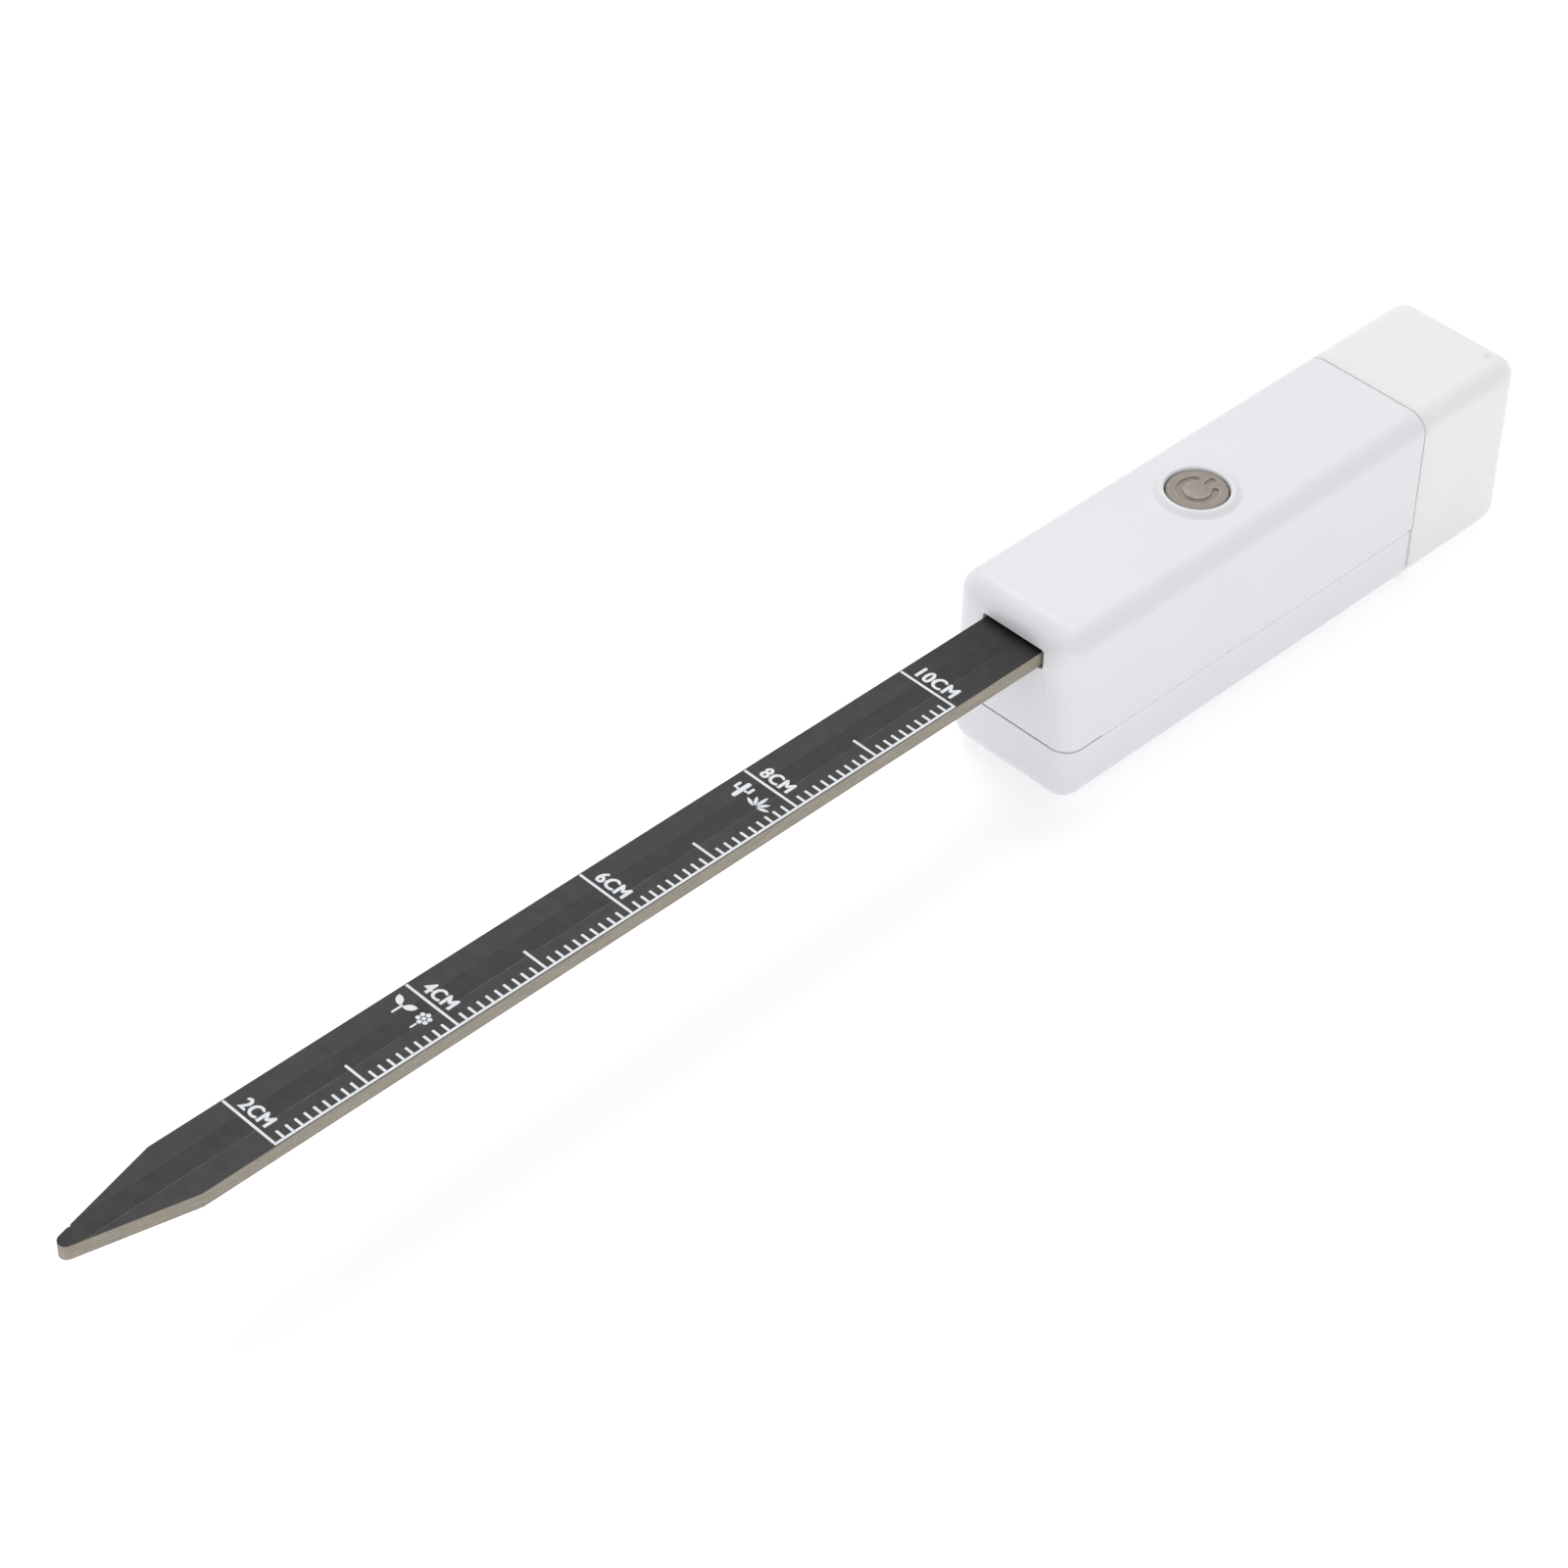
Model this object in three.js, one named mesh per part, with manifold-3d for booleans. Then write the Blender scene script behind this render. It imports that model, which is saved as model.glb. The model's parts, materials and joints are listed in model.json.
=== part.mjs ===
// Soil moisture sensor: a circuit-board probe in a square handle with a button, a lit cap and one cell.
// Millimetres. X runs from the probe's tip to the light cap, Y to the left and Z up.
// The sensor lies on the flat underside of its battery cover, with the button on top.
import * as THREE from "three";
import { mergeVertices } from "three/addons/utils/BufferGeometryUtils.js";
import { RoundedBoxGeometry } from "three/addons/geometries/RoundedBoxGeometry.js";
import Module from "manifold-3d";

const wasm = await Module();
wasm.setup();

// ---- Clearances ----

const seam = 0.2; // between housing pieces
const slotGap = 0.3; // round the probe in the front wall
const buttonGap = 0.15;
const fit = 0.3; // between pieces that seat on each other
const touch = 0.1; // between pieces pressed together
const solder = 0.05; // between a board and what is soldered to it
const grooveGap = 0.25; // round the hooks in the cover's grooves

// ---- Driving dimensions ----

// Probe board
const probeReach = 111; // tip to the front face of the housing
const probeWidth = 7.1;
const boardThickness = 1.6;
const tipTaper = 11.9; // tip to the shoulders where the full width starts
const tipRadius = 0.75;
const boardOverhang = 4.4; // how far the board runs on into the cap

// Housing
const capLength = 14.8;
const coverHeight = 6.3;
const edgeRadius = 2.1;
const wall = 1.3;
const capEndWall = 1.5;
const componentRoom = 2.1; // cradle roof to the board, for the parts that hang there
const switchRoom = 1.9; // board to the ceiling, for the switch and the button's flange

// Button and its raised ring
const buttonSetback = 25.3; // front face to the button's centre
const buttonRadius = 3.05;
const buttonRise = 0.35; // top of the button above the top face
const rimRound = 0.25;
const flangeOverhang = 0.65;
const flangeThickness = 0.5;
const flangeRecess = 0.4; // how far the flange sits up into the ceiling
const keyHalf = 0.6;
const keyReach = 0.6; // the flange's key, which stops the button turning
const stemRadius = 1.2;
const ringCrest = 0.58; // crest of the ring above the top face
const ringCrestOffset = 0.3; // from the bore's wall to the crest
const ringFoot = 1.2; // from the bore's wall to where the ring runs out
const symbolRadius = 1.65;
const symbolLine = 0.65;
const symbolDepth = 0.25;
const symbolGap = Math.PI / 4; // half of the arc's opening
const symbolBarFrom = 1.1; // the bar's inner end, from the button's centre
const symbolBarTo = 2.35;

// Switch under the button
const switchSide = 4;
const switchHeight = 0.8;
const switchPlate = 0.1;
const wellDepth = 0.6; // the dome's well in the switch base
const wellGap = 0.15;
const plungerRadius = 0.85;
const plungerHeight = 0.65;
const domeRadius = 1.25;
const domeRise = 0.3;
const domeGauge = 0.08;

// Cell, size AAA
const cellRadius = 5.25;
const cellLength = 44.5;
const nubRadius = 1.9;
const nubHeight = 0.9;
const canGauge = 0.2;
const sleeveGauge = 0.12;
const sleeveLip = 1; // how far the sleeve folds over the can's ends
const crimp = 0.3; // the can's rim behind the sleeve's fold
const plusDiscGauge = 0.7;

// Cradle and contacts
const cradleWall = 0.55;
const cradleRoof = 0.8;
const cradleEnd = 0.8;
const cradleCorner = 1; // the end walls' step in at their feet
const guideGauge = 0.6;
const guideDepth = 3; // how far the guides reach below the cell's axis
const plateGauge = 0.3;
const plateSide = 8;
const tailWidth = 2;
const springLength = 2.65;
const springTurns = 3;
const springWire = 0.5;
const springBase = 3; // radius of the first turn
const springTop = 1.7;
const hookDrop = 1.9; // parting plane to the top of the cover hooks
const hookHeight = 0.8;
const hookReach = 0.35; // how far a hook enters the cover's wall

// Barbs that snap the cradle and the cap into pockets in the shell's walls
const barbLength = 4;
const barbReach = 0.25;
const barbHeight = 1;
const barbLift = 9.5; // above the rest plane
const frontBarbSetback = 11; // from the front face
const rearBarbInset = 9.3; // from the shell's rear end
const capBarbLength = 1;
const capBarbInset = 2.8;
const tabThickness = 0.9;
const tabReach = 3; // how far the cap's tabs enter the shell
const tabRoot = 1.4; // how far they run back inside the cap
const topTabThickness = 1.1;
const topTabHalf = 3.5;

// Seal behind the slot
const sealDepth = 1.6;
const sealLip = 1.1;

// Screws
const screwShank = 0.8;
const screwHead = 1.5;
const screwHeadHeight = 0.9;
const screwLength = 3.6;
const screwSlot = 0.15; // half the width of the cross recess
const bossRadius = 2;
const frontScrewSetback = 12; // from the front face
const rearScrewInset = 10.3; // from the shell's rear end

// Shallow thumb grooves across the cover's underside, for pushing it open
const gripGrooves = 5;
const gripPitch = 1.6;
const gripDepth = 0.4;
const gripWidth = 8;
const gripSetback = 8;

// Lights in the cap
const ledLength = 1.6;
const ledWidth = 2;
const ledBase = 0.4;
const ledLens = 0.7;
const ledDome = 0.45;
const ledInset = 1.4; // from the board's rear end
const ledPitch = 3.4;

// Facets
const roundSides = 48;
const smallSides = 32;
const tinySides = 24;
const beyond = 1; // how far a cut runs past what it cuts

// ---- Places that follow from them ----

// Up from the rest plane
const cradleInner = cellRadius + fit;
const cradleOuter = cradleInner + cradleWall;
const innerHalf = cradleOuter + fit;
const halfWidth = innerHalf + wall;
const boardInnerHalf = innerHalf - fit;
const cellAxis = wall + fit + cellRadius;
const roofUnderside = cellAxis + cellRadius + fit;
const roofTop = roofUnderside + cradleRoof;
const boardUnderside = roofTop + componentRoom;
const boardTop = boardUnderside + boardThickness;
const ceiling = boardTop + switchRoom;
const housingHeight = ceiling + wall;
const hookTop = coverHeight - hookDrop;
const hookFoot = hookTop - hookHeight;
const tabFoot = roofTop + fit;
const tabTop = boardUnderside - fit;

// Along the sensor
const faceX = probeReach;
const innerX = faceX + wall + fit;
const minusPlateX = innerX + cradleEnd + touch;
const springX = minusPlateX + plateGauge + touch;
const cellX = springX + springLength + touch;
const plusPlateX = cellX + cellLength + fit / 2;
const shellEnd = plusPlateX; // the plus contact stands in the seam between shell and cap
const endX = shellEnd + capLength;
const cradleRearX = plusPlateX + plateGauge + touch;
const cradleEndX = cradleRearX + cradleEnd;
const sealEnd = innerX + sealDepth;
const boardStep = sealEnd + fit;
const boardEnd = shellEnd + boardOverhang;
const buttonX = faceX + buttonSetback;
const ledX = boardEnd - ledInset;
const frontScrewX = faceX + frontScrewSetback;
const rearScrewX = shellEnd - rearScrewInset;
const barbXs = [faceX + frontBarbSetback, shellEnd - rearBarbInset];
const capBarbX = shellEnd - capBarbInset;

// Button and switch
const boreRadius = buttonRadius + buttonGap;
const flangeRadius = boreRadius + flangeOverhang;
const flangeTop = ceiling + flangeRecess;
const flangeFoot = flangeTop - flangeThickness;
const flangeSeat = flangeTop + touch; // underside of the ceiling over the flange
const buttonTop = housingHeight + buttonRise;
const switchSeat = boardTop + solder;
const switchTop = switchSeat + switchHeight;
const wellFloor = switchTop - wellDepth;
const domeFoot = wellFloor + solder;
const plungerFoot = domeFoot + domeRise + solder;
const plungerTop = plungerFoot + plungerHeight;
const stemFoot = plungerTop + touch;

// Cell
const cellRear = cellX + cellLength;
const canRadius = cellRadius - sleeveGauge - solder;
const coreRadius = canRadius - canGauge - solder;
const shoulderX = cellRear - nubHeight; // where the sleeve's fold lies over the can's rim
const canRimX = shoulderX - crimp;

// ---- Solids ----

// A closed three.js geometry as a solid that can be joined and cut.
function solid(geometry) {
  const bare = geometry.index ? geometry.clone() : geometry;
  bare.deleteAttribute("normal");
  bare.deleteAttribute("uv");
  const merged = mergeVertices(bare, 1e-4);
  return new wasm.Manifold(
    new wasm.Mesh({
      numProp: 3,
      vertProperties: merged.attributes.position.array,
      triVerts: new Uint32Array(merged.index.array),
    }),
  );
}

// A finished solid as a named mesh.
function part(name, body, material) {
  const raw = body.getMesh();
  const geometry = new THREE.BufferGeometry();
  geometry.setAttribute("position", new THREE.BufferAttribute(raw.vertProperties, 3));
  geometry.setIndex(new THREE.BufferAttribute(raw.triVerts, 1));
  geometry.computeVertexNormals();
  const mesh = new THREE.Mesh(geometry, material);
  mesh.name = name;
  return mesh;
}

function finish(color, roughness, metalness = 0) {
  return new THREE.MeshStandardMaterial({ color, roughness, metalness });
}

// A block between two corners.
function block(x0, x1, y0, y1, z0, z1) {
  const geometry = new THREE.BoxGeometry(x1 - x0, y1 - y0, z1 - z0);
  geometry.translate((x0 + x1) / 2, (y0 + y1) / 2, (z0 + z1) / 2);
  return solid(geometry);
}

// The distances a and b from the middle plane, on the left (side 1) or the right (side -1).
function across(side, a, b) {
  return [Math.min(side * a, side * b), Math.max(side * a, side * b)];
}

// An upright disc or post.
function post(x, y, z0, z1, radius, sides = roundSides) {
  const geometry = new THREE.CylinderGeometry(radius, radius, z1 - z0, sides);
  geometry.rotateX(Math.PI / 2);
  geometry.translate(x, y, (z0 + z1) / 2);
  return solid(geometry);
}

// A disc lying along X on the cell's axis.
function drum(x0, x1, radius, sides = roundSides) {
  const geometry = new THREE.CylinderGeometry(radius, radius, x1 - x0, sides);
  geometry.rotateZ(-Math.PI / 2);
  geometry.translate((x0 + x1) / 2, 0, cellAxis);
  return solid(geometry);
}

// A closed profile of [radius, height] points turned about an upright axis.
function turned(points, x = 0, sides = roundSides) {
  const profile = points.map(([radius, height]) => new THREE.Vector2(radius, height));
  const geometry = new THREE.LatheGeometry(profile, sides);
  geometry.rotateX(Math.PI / 2);
  geometry.translate(x, 0, 0);
  return solid(geometry);
}

// A flat outline in X and Y, raised from z0 to z1.
function plate(shape, z0, z1, curveSegments) {
  const geometry = new THREE.ExtrudeGeometry(shape, { depth: z1 - z0, bevelEnabled: false, curveSegments });
  geometry.translate(0, 0, z0);
  return solid(geometry);
}

// A rectangle with round corners in Y and Z, pushed along X.
function roundedBar(x0, x1, width, z0, z1, radius) {
  const height = z1 - z0;
  const shape = new THREE.Shape();
  shape.moveTo(-width / 2 + radius, -height / 2);
  shape.lineTo(width / 2 - radius, -height / 2);
  shape.absarc(width / 2 - radius, -height / 2 + radius, radius, -Math.PI / 2, 0);
  shape.absarc(width / 2 - radius, height / 2 - radius, radius, 0, Math.PI / 2);
  shape.absarc(-width / 2 + radius, height / 2 - radius, radius, Math.PI / 2, Math.PI);
  shape.absarc(-width / 2 + radius, -height / 2 + radius, radius, Math.PI, 1.5 * Math.PI);
  const geometry = new THREE.ExtrudeGeometry(shape, { depth: x1 - x0, bevelEnabled: false, curveSegments: 6 });
  geometry.rotateX(Math.PI / 2);
  geometry.rotateZ(Math.PI / 2);
  geometry.translate(x0, 0, (z0 + z1) / 2);
  return solid(geometry);
}

// ---- Housing ----

// The outer form that the shell, the cover and the cap are divided from.
function outerForm() {
  const length = endX - faceX;
  const geometry = new RoundedBoxGeometry(length, 2 * halfWidth, housingHeight, 5, edgeRadius);
  geometry.translate(faceX + length / 2, 0, housingHeight / 2);
  return solid(geometry);
}

// Everything between two stations along the sensor, and between two heights.
function slab(x0, x1, z0, z1) {
  return block(x0, x1, -halfWidth - beyond, halfWidth + beyond, z0, z1);
}

// The raised ring round the button: a short inner wall, a rounded crest and a soft run-out.
function buttonRing() {
  const crestRadius = boreRadius + ringCrestOffset;
  const footRadius = boreRadius + ringFoot;
  const root = ceiling + wall / 2;
  const steps = 6;
  const points = [[boreRadius, root]];
  for (let i = 0; i <= steps; i++) {
    const turn = (i / steps) * (Math.PI / 2);
    const rise = buttonRise + (ringCrest - buttonRise) * Math.sin(turn);
    points.push([crestRadius - ringCrestOffset * Math.cos(turn), housingHeight + rise]);
  }
  for (let i = 1; i <= steps; i++) {
    const along = i / steps;
    const rise = (ringCrest * (1 + Math.cos(Math.PI * along))) / 2;
    points.push([crestRadius + (footRadius - crestRadius) * along, housingHeight + rise]);
  }
  points.push([footRadius, root]);
  points.push([boreRadius, root]);
  return turned(points.reverse(), buttonX);
}

// The pockets in one side wall, for the cradle's and the cap's barbs.
function shellPockets(side) {
  const [y0, y1] = across(side, innerHalf - fit, innerHalf + barbReach + fit);
  let pockets = block(capBarbX - fit, capBarbX + capBarbLength + fit, y0, y1, tabFoot - fit, tabTop + fit);
  for (const x of barbXs) {
    const [z0, z1] = [barbLift - fit, barbLift + barbHeight + fit];
    pockets = pockets.add(block(x - fit, x + barbLength + fit, y0, y1, z0, z1));
  }
  return pockets;
}

// The slot that the probe leaves through.
function probeSlot() {
  const width = probeWidth + 2 * slotGap;
  const [z0, z1] = [boardUnderside - slotGap, boardTop + slotGap];
  return roundedBar(faceX - beyond, faceX + wall + beyond, width, z0, z1, slotGap);
}

// The button's bore, the recess for its flange and the notch for the flange's key.
function buttonWell() {
  const keyEnd = flangeRadius + keyReach + fit;
  return post(buttonX, 0, ceiling - beyond, buttonTop + beyond, boreRadius)
    .add(post(buttonX, 0, ceiling - beyond, flangeSeat, flangeRadius + fit))
    .add(block(buttonX - keyHalf - fit, buttonX + keyHalf + fit, 0, keyEnd, ceiling - beyond, flangeSeat));
}

function upperShell() {
  const keep = slab(faceX - beyond, shellEnd, coverHeight + seam, housingHeight + beyond);
  const hollow = block(faceX + wall, shellEnd + beyond, -innerHalf, innerHalf, 0, ceiling);
  let shell = outerForm().intersect(keep).subtract(hollow).subtract(probeSlot()).add(buttonRing());
  for (const x of [frontScrewX, rearScrewX]) {
    shell = shell.add(post(x, 0, boardTop + fit / 2, ceiling + wall / 2, bossRadius, smallSides));
    shell = shell.subtract(post(x, 0, boardTop, ceiling + wall / 3, screwShank + fit / 2, tinySides));
  }
  return shell.subtract(buttonWell()).subtract(shellPockets(1)).subtract(shellPockets(-1));
}

function batteryCover() {
  const keep = slab(faceX - beyond, shellEnd - seam, -beyond, coverHeight);
  const hollow = block(faceX + wall, shellEnd + beyond, -innerHalf, innerHalf, wall, coverHeight + beyond);
  const half = innerHalf + hookReach + grooveGap;
  const [z0, z1] = [hookFoot - grooveGap, hookTop + grooveGap];
  const grooves = block(faceX + wall + fit / 2, shellEnd + beyond, -half, half, z0, z1);
  let cover = outerForm().intersect(keep).subtract(hollow).subtract(grooves);
  for (let i = 0; i < gripGrooves; i++) {
    const x = faceX + gripSetback + i * gripPitch;
    cover = cover.subtract(block(x, x + gripPitch / 2, -gripWidth / 2, gripWidth / 2, -beyond, gripDepth));
  }
  return cover;
}

// The frosted cap: a hollow box with two side tabs and a top tab that enter the shell.
function diffuserCap() {
  const start = shellEnd + seam;
  const keep = slab(start, endX + beyond, -beyond, housingHeight + beyond);
  const hollow = block(start - beyond, endX - capEndWall, -innerHalf, innerHalf, wall, ceiling);
  let cap = outerForm().intersect(keep).subtract(hollow);
  const tabOuter = innerHalf - fit;
  const tabInner = tabOuter - tabThickness;
  const tabX = shellEnd - tabReach;
  const rootEnd = start + tabRoot;
  for (const side of [1, -1]) {
    const tab = across(side, tabInner, tabOuter);
    const root = across(side, tabInner, innerHalf + fit);
    const barb = across(side, tabOuter - fit, innerHalf + barbReach);
    cap = cap.add(block(tabX, rootEnd, ...tab, tabFoot, tabTop));
    cap = cap.add(block(start, rootEnd, ...root, tabFoot, tabTop));
    cap = cap.add(block(capBarbX, capBarbX + capBarbLength, ...barb, tabFoot, tabTop));
  }
  const topTabFoot = ceiling - fit - topTabThickness;
  cap = cap.add(block(tabX, rootEnd, -topTabHalf, topTabHalf, topTabFoot, ceiling - fit));
  cap = cap.add(block(start, rootEnd, -topTabHalf, topTabHalf, topTabFoot, ceiling + fit));
  return cap;
}

// ---- Button and switch ----

// The power sign: an open ring with round ends and a bar in its gap, which faces the cap.
function powerSign(z0, z1) {
  const half = symbolLine / 2;
  const start = symbolGap;
  const stop = 2 * Math.PI - symbolGap;
  const onRing = (angle) => [symbolRadius * Math.cos(angle), symbolRadius * Math.sin(angle)];
  const ring = new THREE.Shape();
  ring.absarc(0, 0, symbolRadius + half, start, stop, false);
  ring.absarc(...onRing(stop), half, stop, stop + Math.PI, false);
  ring.absarc(0, 0, symbolRadius - half, stop, start, true);
  ring.absarc(...onRing(start), half, start + Math.PI, start + 2 * Math.PI, false);
  const bar = new THREE.Shape();
  bar.absarc(symbolBarTo - half, 0, half, -Math.PI / 2, Math.PI / 2, false);
  bar.absarc(symbolBarFrom + half, 0, half, Math.PI / 2, 1.5 * Math.PI, false);
  return plate(ring, z0, z1, 16).add(plate(bar, z0, z1, 6));
}

function buttonCap() {
  const profile = [
    [0, stemFoot],
    [stemRadius, stemFoot],
    [stemRadius, flangeFoot],
    [flangeRadius, flangeFoot],
    [flangeRadius, flangeTop],
    [buttonRadius, flangeTop],
  ];
  const steps = 4;
  for (let i = 0; i <= steps; i++) {
    const turn = (i / steps) * (Math.PI / 2);
    const radius = buttonRadius - rimRound * (1 - Math.cos(turn));
    profile.push([radius, buttonTop - rimRound * (1 - Math.sin(turn))]);
  }
  profile.push([0, buttonTop]);
  const key = block(-keyHalf, keyHalf, buttonRadius, flangeRadius + keyReach, flangeFoot, flangeTop);
  return turned(profile).add(key).subtract(powerSign(buttonTop - symbolDepth, buttonTop + beyond));
}

function switchBase() {
  const half = switchSide / 2;
  const body = block(-half, half, -half, half, switchSeat, switchTop);
  return body.subtract(post(0, 0, wellFloor, switchTop + beyond, domeRadius + wellGap, smallSides));
}

function switchCover() {
  const half = switchSide / 2;
  const foot = switchTop + solder;
  const sheet = block(-half, half, -half, half, foot, foot + switchPlate);
  return sheet.subtract(post(0, 0, foot - beyond, foot + beyond, plungerRadius + fit / 2, smallSides));
}

// The snap dome: a thin shallow bowl, face down.
function switchDome() {
  const steps = 5;
  const outer = [];
  const inner = [];
  for (let i = 0; i <= steps; i++) {
    const share = i / steps;
    const rise = (domeRise - domeGauge) * (1 - (1 - share) ** 2);
    outer.push([domeRadius * (1 - share), domeFoot + domeGauge + rise]);
    inner.push([domeRadius * (1 - share), domeFoot + rise]);
  }
  return turned([...inner.reverse(), ...outer], 0, smallSides);
}

function switchPlunger() {
  return post(0, 0, plungerFoot, plungerTop, plungerRadius, smallSides);
}

// ---- Probe board and what is on it ----

function probeBoard() {
  const half = probeWidth / 2;
  // The taper's sides touch the round end where their slope meets it.
  const slope = Math.atan2(half - tipRadius, tipTaper - tipRadius);
  const shape = new THREE.Shape();
  shape.moveTo(tipTaper, -half);
  shape.lineTo(boardStep, -half);
  shape.lineTo(boardStep, -boardInnerHalf);
  shape.lineTo(boardEnd, -boardInnerHalf);
  shape.lineTo(boardEnd, boardInnerHalf);
  shape.lineTo(boardStep, boardInnerHalf);
  shape.lineTo(boardStep, half);
  shape.lineTo(tipTaper, half);
  shape.absarc(tipRadius, 0, tipRadius, Math.PI / 2 + slope, 1.5 * Math.PI - slope, false);
  shape.closePath();
  let board = plate(shape, boardUnderside, boardTop, 24);
  for (const x of [frontScrewX, rearScrewX]) {
    board = board.subtract(post(x, 0, boardUnderside - beyond, boardTop + beyond, screwShank + fit, tinySides));
  }
  return board;
}

// The soft seal behind the slot, pressed round the probe.
function slotSeal() {
  const lip = fit + sealLip;
  const width = probeWidth + 2 * lip;
  const outer = roundedBar(innerX, sealEnd, width, boardUnderside - lip, boardTop + lip, sealLip);
  const half = probeWidth / 2 + touch;
  const [z0, z1] = [boardUnderside - touch, boardTop + touch];
  return outer.subtract(block(innerX - beyond, sealEnd + beyond, -half, half, z0, z1));
}

// A chip with bent leads along two sides, its underside at z = 0.
function leadedChip({ length, width, height, leads, pitch }) {
  const lift = 0.15;
  const gauge = 0.2;
  const foot = 0.6;
  const root = 0.1;
  const shoulder = height / 2;
  const knee = width / 2 + gauge;
  const leadHalf = (pitch * 0.35) / 2;
  let chip = block(-length / 2, length / 2, -width / 2, width / 2, lift, height);
  for (let i = 0; i < leads; i++) {
    const x = (i - (leads - 1) / 2) * pitch;
    const lead = [x - leadHalf, x + leadHalf];
    for (const side of [1, -1]) {
      const out = across(side, width / 2 - root, knee + gauge);
      const down = across(side, knee, knee + gauge);
      const along = across(side, knee, knee + foot);
      chip = chip.add(block(...lead, ...out, shoulder - gauge, shoulder));
      chip = chip.add(block(...lead, ...down, 0, shoulder));
      chip = chip.add(block(...lead, ...along, 0, gauge));
    }
  }
  return chip;
}

// A small two-ended component: a body between two slightly larger metal ends.
function endedChip({ length, width, height, end }) {
  const proud = 0.03;
  const bodyHalf = (length - end) / 2;
  let chip = block(-bodyHalf, bodyHalf, -width / 2, width / 2, proud, height - proud);
  for (const side of [1, -1]) {
    const [x0, x1] = across(side, length / 2 - end, length / 2);
    chip = chip.add(block(x0, x1, -width / 2 - proud, width / 2 + proud, 0, height));
  }
  return chip;
}

// A wound inductor: two flanges with the winding between them.
function inductor({ side, height, flange, winding }) {
  const half = side / 2;
  return block(-half, half, -half, half, 0, flange)
    .add(post(0, 0, flange / 2, height - flange / 2, winding, smallSides))
    .add(block(-half, half, -half, half, height - flange, height));
}

// A light: a flat base with a domed lens.
function ledBody() {
  const root = ledBase / 2;
  const steps = 5;
  const profile = [
    [0, root],
    [ledLens, root],
  ];
  for (let i = 0; i <= steps; i++) {
    const turn = (i / steps) * (Math.PI / 2);
    profile.push([ledLens * Math.cos(turn), ledBase + ledDome * Math.sin(turn)]);
  }
  const base = block(-ledLength / 2, ledLength / 2, -ledWidth / 2, ledWidth / 2, 0, ledBase);
  return base.add(turned(profile, 0, tinySides));
}

// A pan-head screw, head down, with a cross recess.
function boardScrew() {
  const headTop = boardUnderside - touch;
  const headFoot = headTop - screwHeadHeight;
  const headMiddle = headFoot + screwHeadHeight / 2;
  const profile = [
    [0, headFoot],
    [screwHead * 0.7, headFoot],
    [screwHead, headMiddle],
    [screwHead, headTop],
    [screwShank, headTop],
    [screwShank, headTop + screwLength - screwShank],
    [screwShank * 0.3, headTop + screwLength],
    [0, headTop + screwLength],
  ];
  const reach = screwHead * 0.6;
  return turned(profile, 0, tinySides)
    .subtract(block(-reach, reach, -screwSlot, screwSlot, headFoot - beyond, headMiddle))
    .subtract(block(-screwSlot, screwSlot, -reach, reach, headFoot - beyond, headMiddle));
}

// ---- Cell, cradle and contacts ----

function cellCan() {
  return drum(cellX, canRimX, canRadius).subtract(drum(cellX + canGauge, cellRear, canRadius - canGauge));
}

function cellCore() {
  return drum(cellX + canGauge + solder, canRimX - plusDiscGauge - canGauge, coreRadius);
}

function cellSleeve() {
  return drum(cellX, shoulderX, cellRadius)
    .subtract(drum(cellX - beyond, shoulderX - canGauge, cellRadius - sleeveGauge))
    .subtract(drum(cellX, cellRear, cellRadius - sleeveLip));
}

function cellPlusCap() {
  const disc = drum(canRimX - plusDiscGauge, canRimX, cellRadius - sleeveLip - canGauge);
  return disc.add(drum(canRimX - canGauge, cellRear, nubRadius));
}

function batteryCradle() {
  const bottom = wall + 2 * fit;
  const railEnd = shellEnd - fit;
  const guideFoot = cellAxis - guideDepth;
  const frontGuide = minusPlateX + plateGauge + touch;
  let cradle = block(innerX, cradleEndX, -cradleOuter, cradleOuter, roofUnderside, roofTop);
  for (const x of [innerX, cradleRearX]) {
    const foot = cradleOuter - cradleCorner;
    cradle = cradle.add(block(x, x + cradleEnd, -foot, foot, bottom, roofTop));
    cradle = cradle.add(block(x, x + cradleEnd, -cradleOuter, cradleOuter, coverHeight + beyond, roofTop));
  }
  for (const side of [1, -1]) {
    const rail = across(side, cradleInner, cradleOuter);
    const hook = across(side, cradleInner, innerHalf + hookReach);
    const barb = across(side, cradleInner, innerHalf + barbReach);
    // Guides and posts hold the contact plates against the end walls.
    const guide = across(side, plateSide / 2 + fit, cradleInner + cradleWall / 2);
    const rearPost = across(side, plateSide / 2 + fit, cradleOuter);
    cradle = cradle.add(block(innerX, railEnd, ...rail, hookFoot, roofTop));
    cradle = cradle.add(block(innerX + fit, railEnd, ...hook, hookFoot, hookTop));
    for (const x of barbXs) {
      cradle = cradle.add(block(x, x + barbLength, ...barb, barbLift, barbLift + barbHeight));
    }
    cradle = cradle.add(block(frontGuide, frontGuide + guideGauge, ...guide, guideFoot, roofTop));
    cradle = cradle.add(block(plusPlateX, cradleEndX, ...rearPost, guideFoot, roofTop));
  }
  for (const x of [minusPlateX, plusPlateX]) {
    const half = tailWidth / 2 + fit;
    cradle = cradle.subtract(block(x - touch, x + plateGauge + touch, -half, half, cellAxis, roofTop + beyond));
  }
  return cradle;
}

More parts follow.
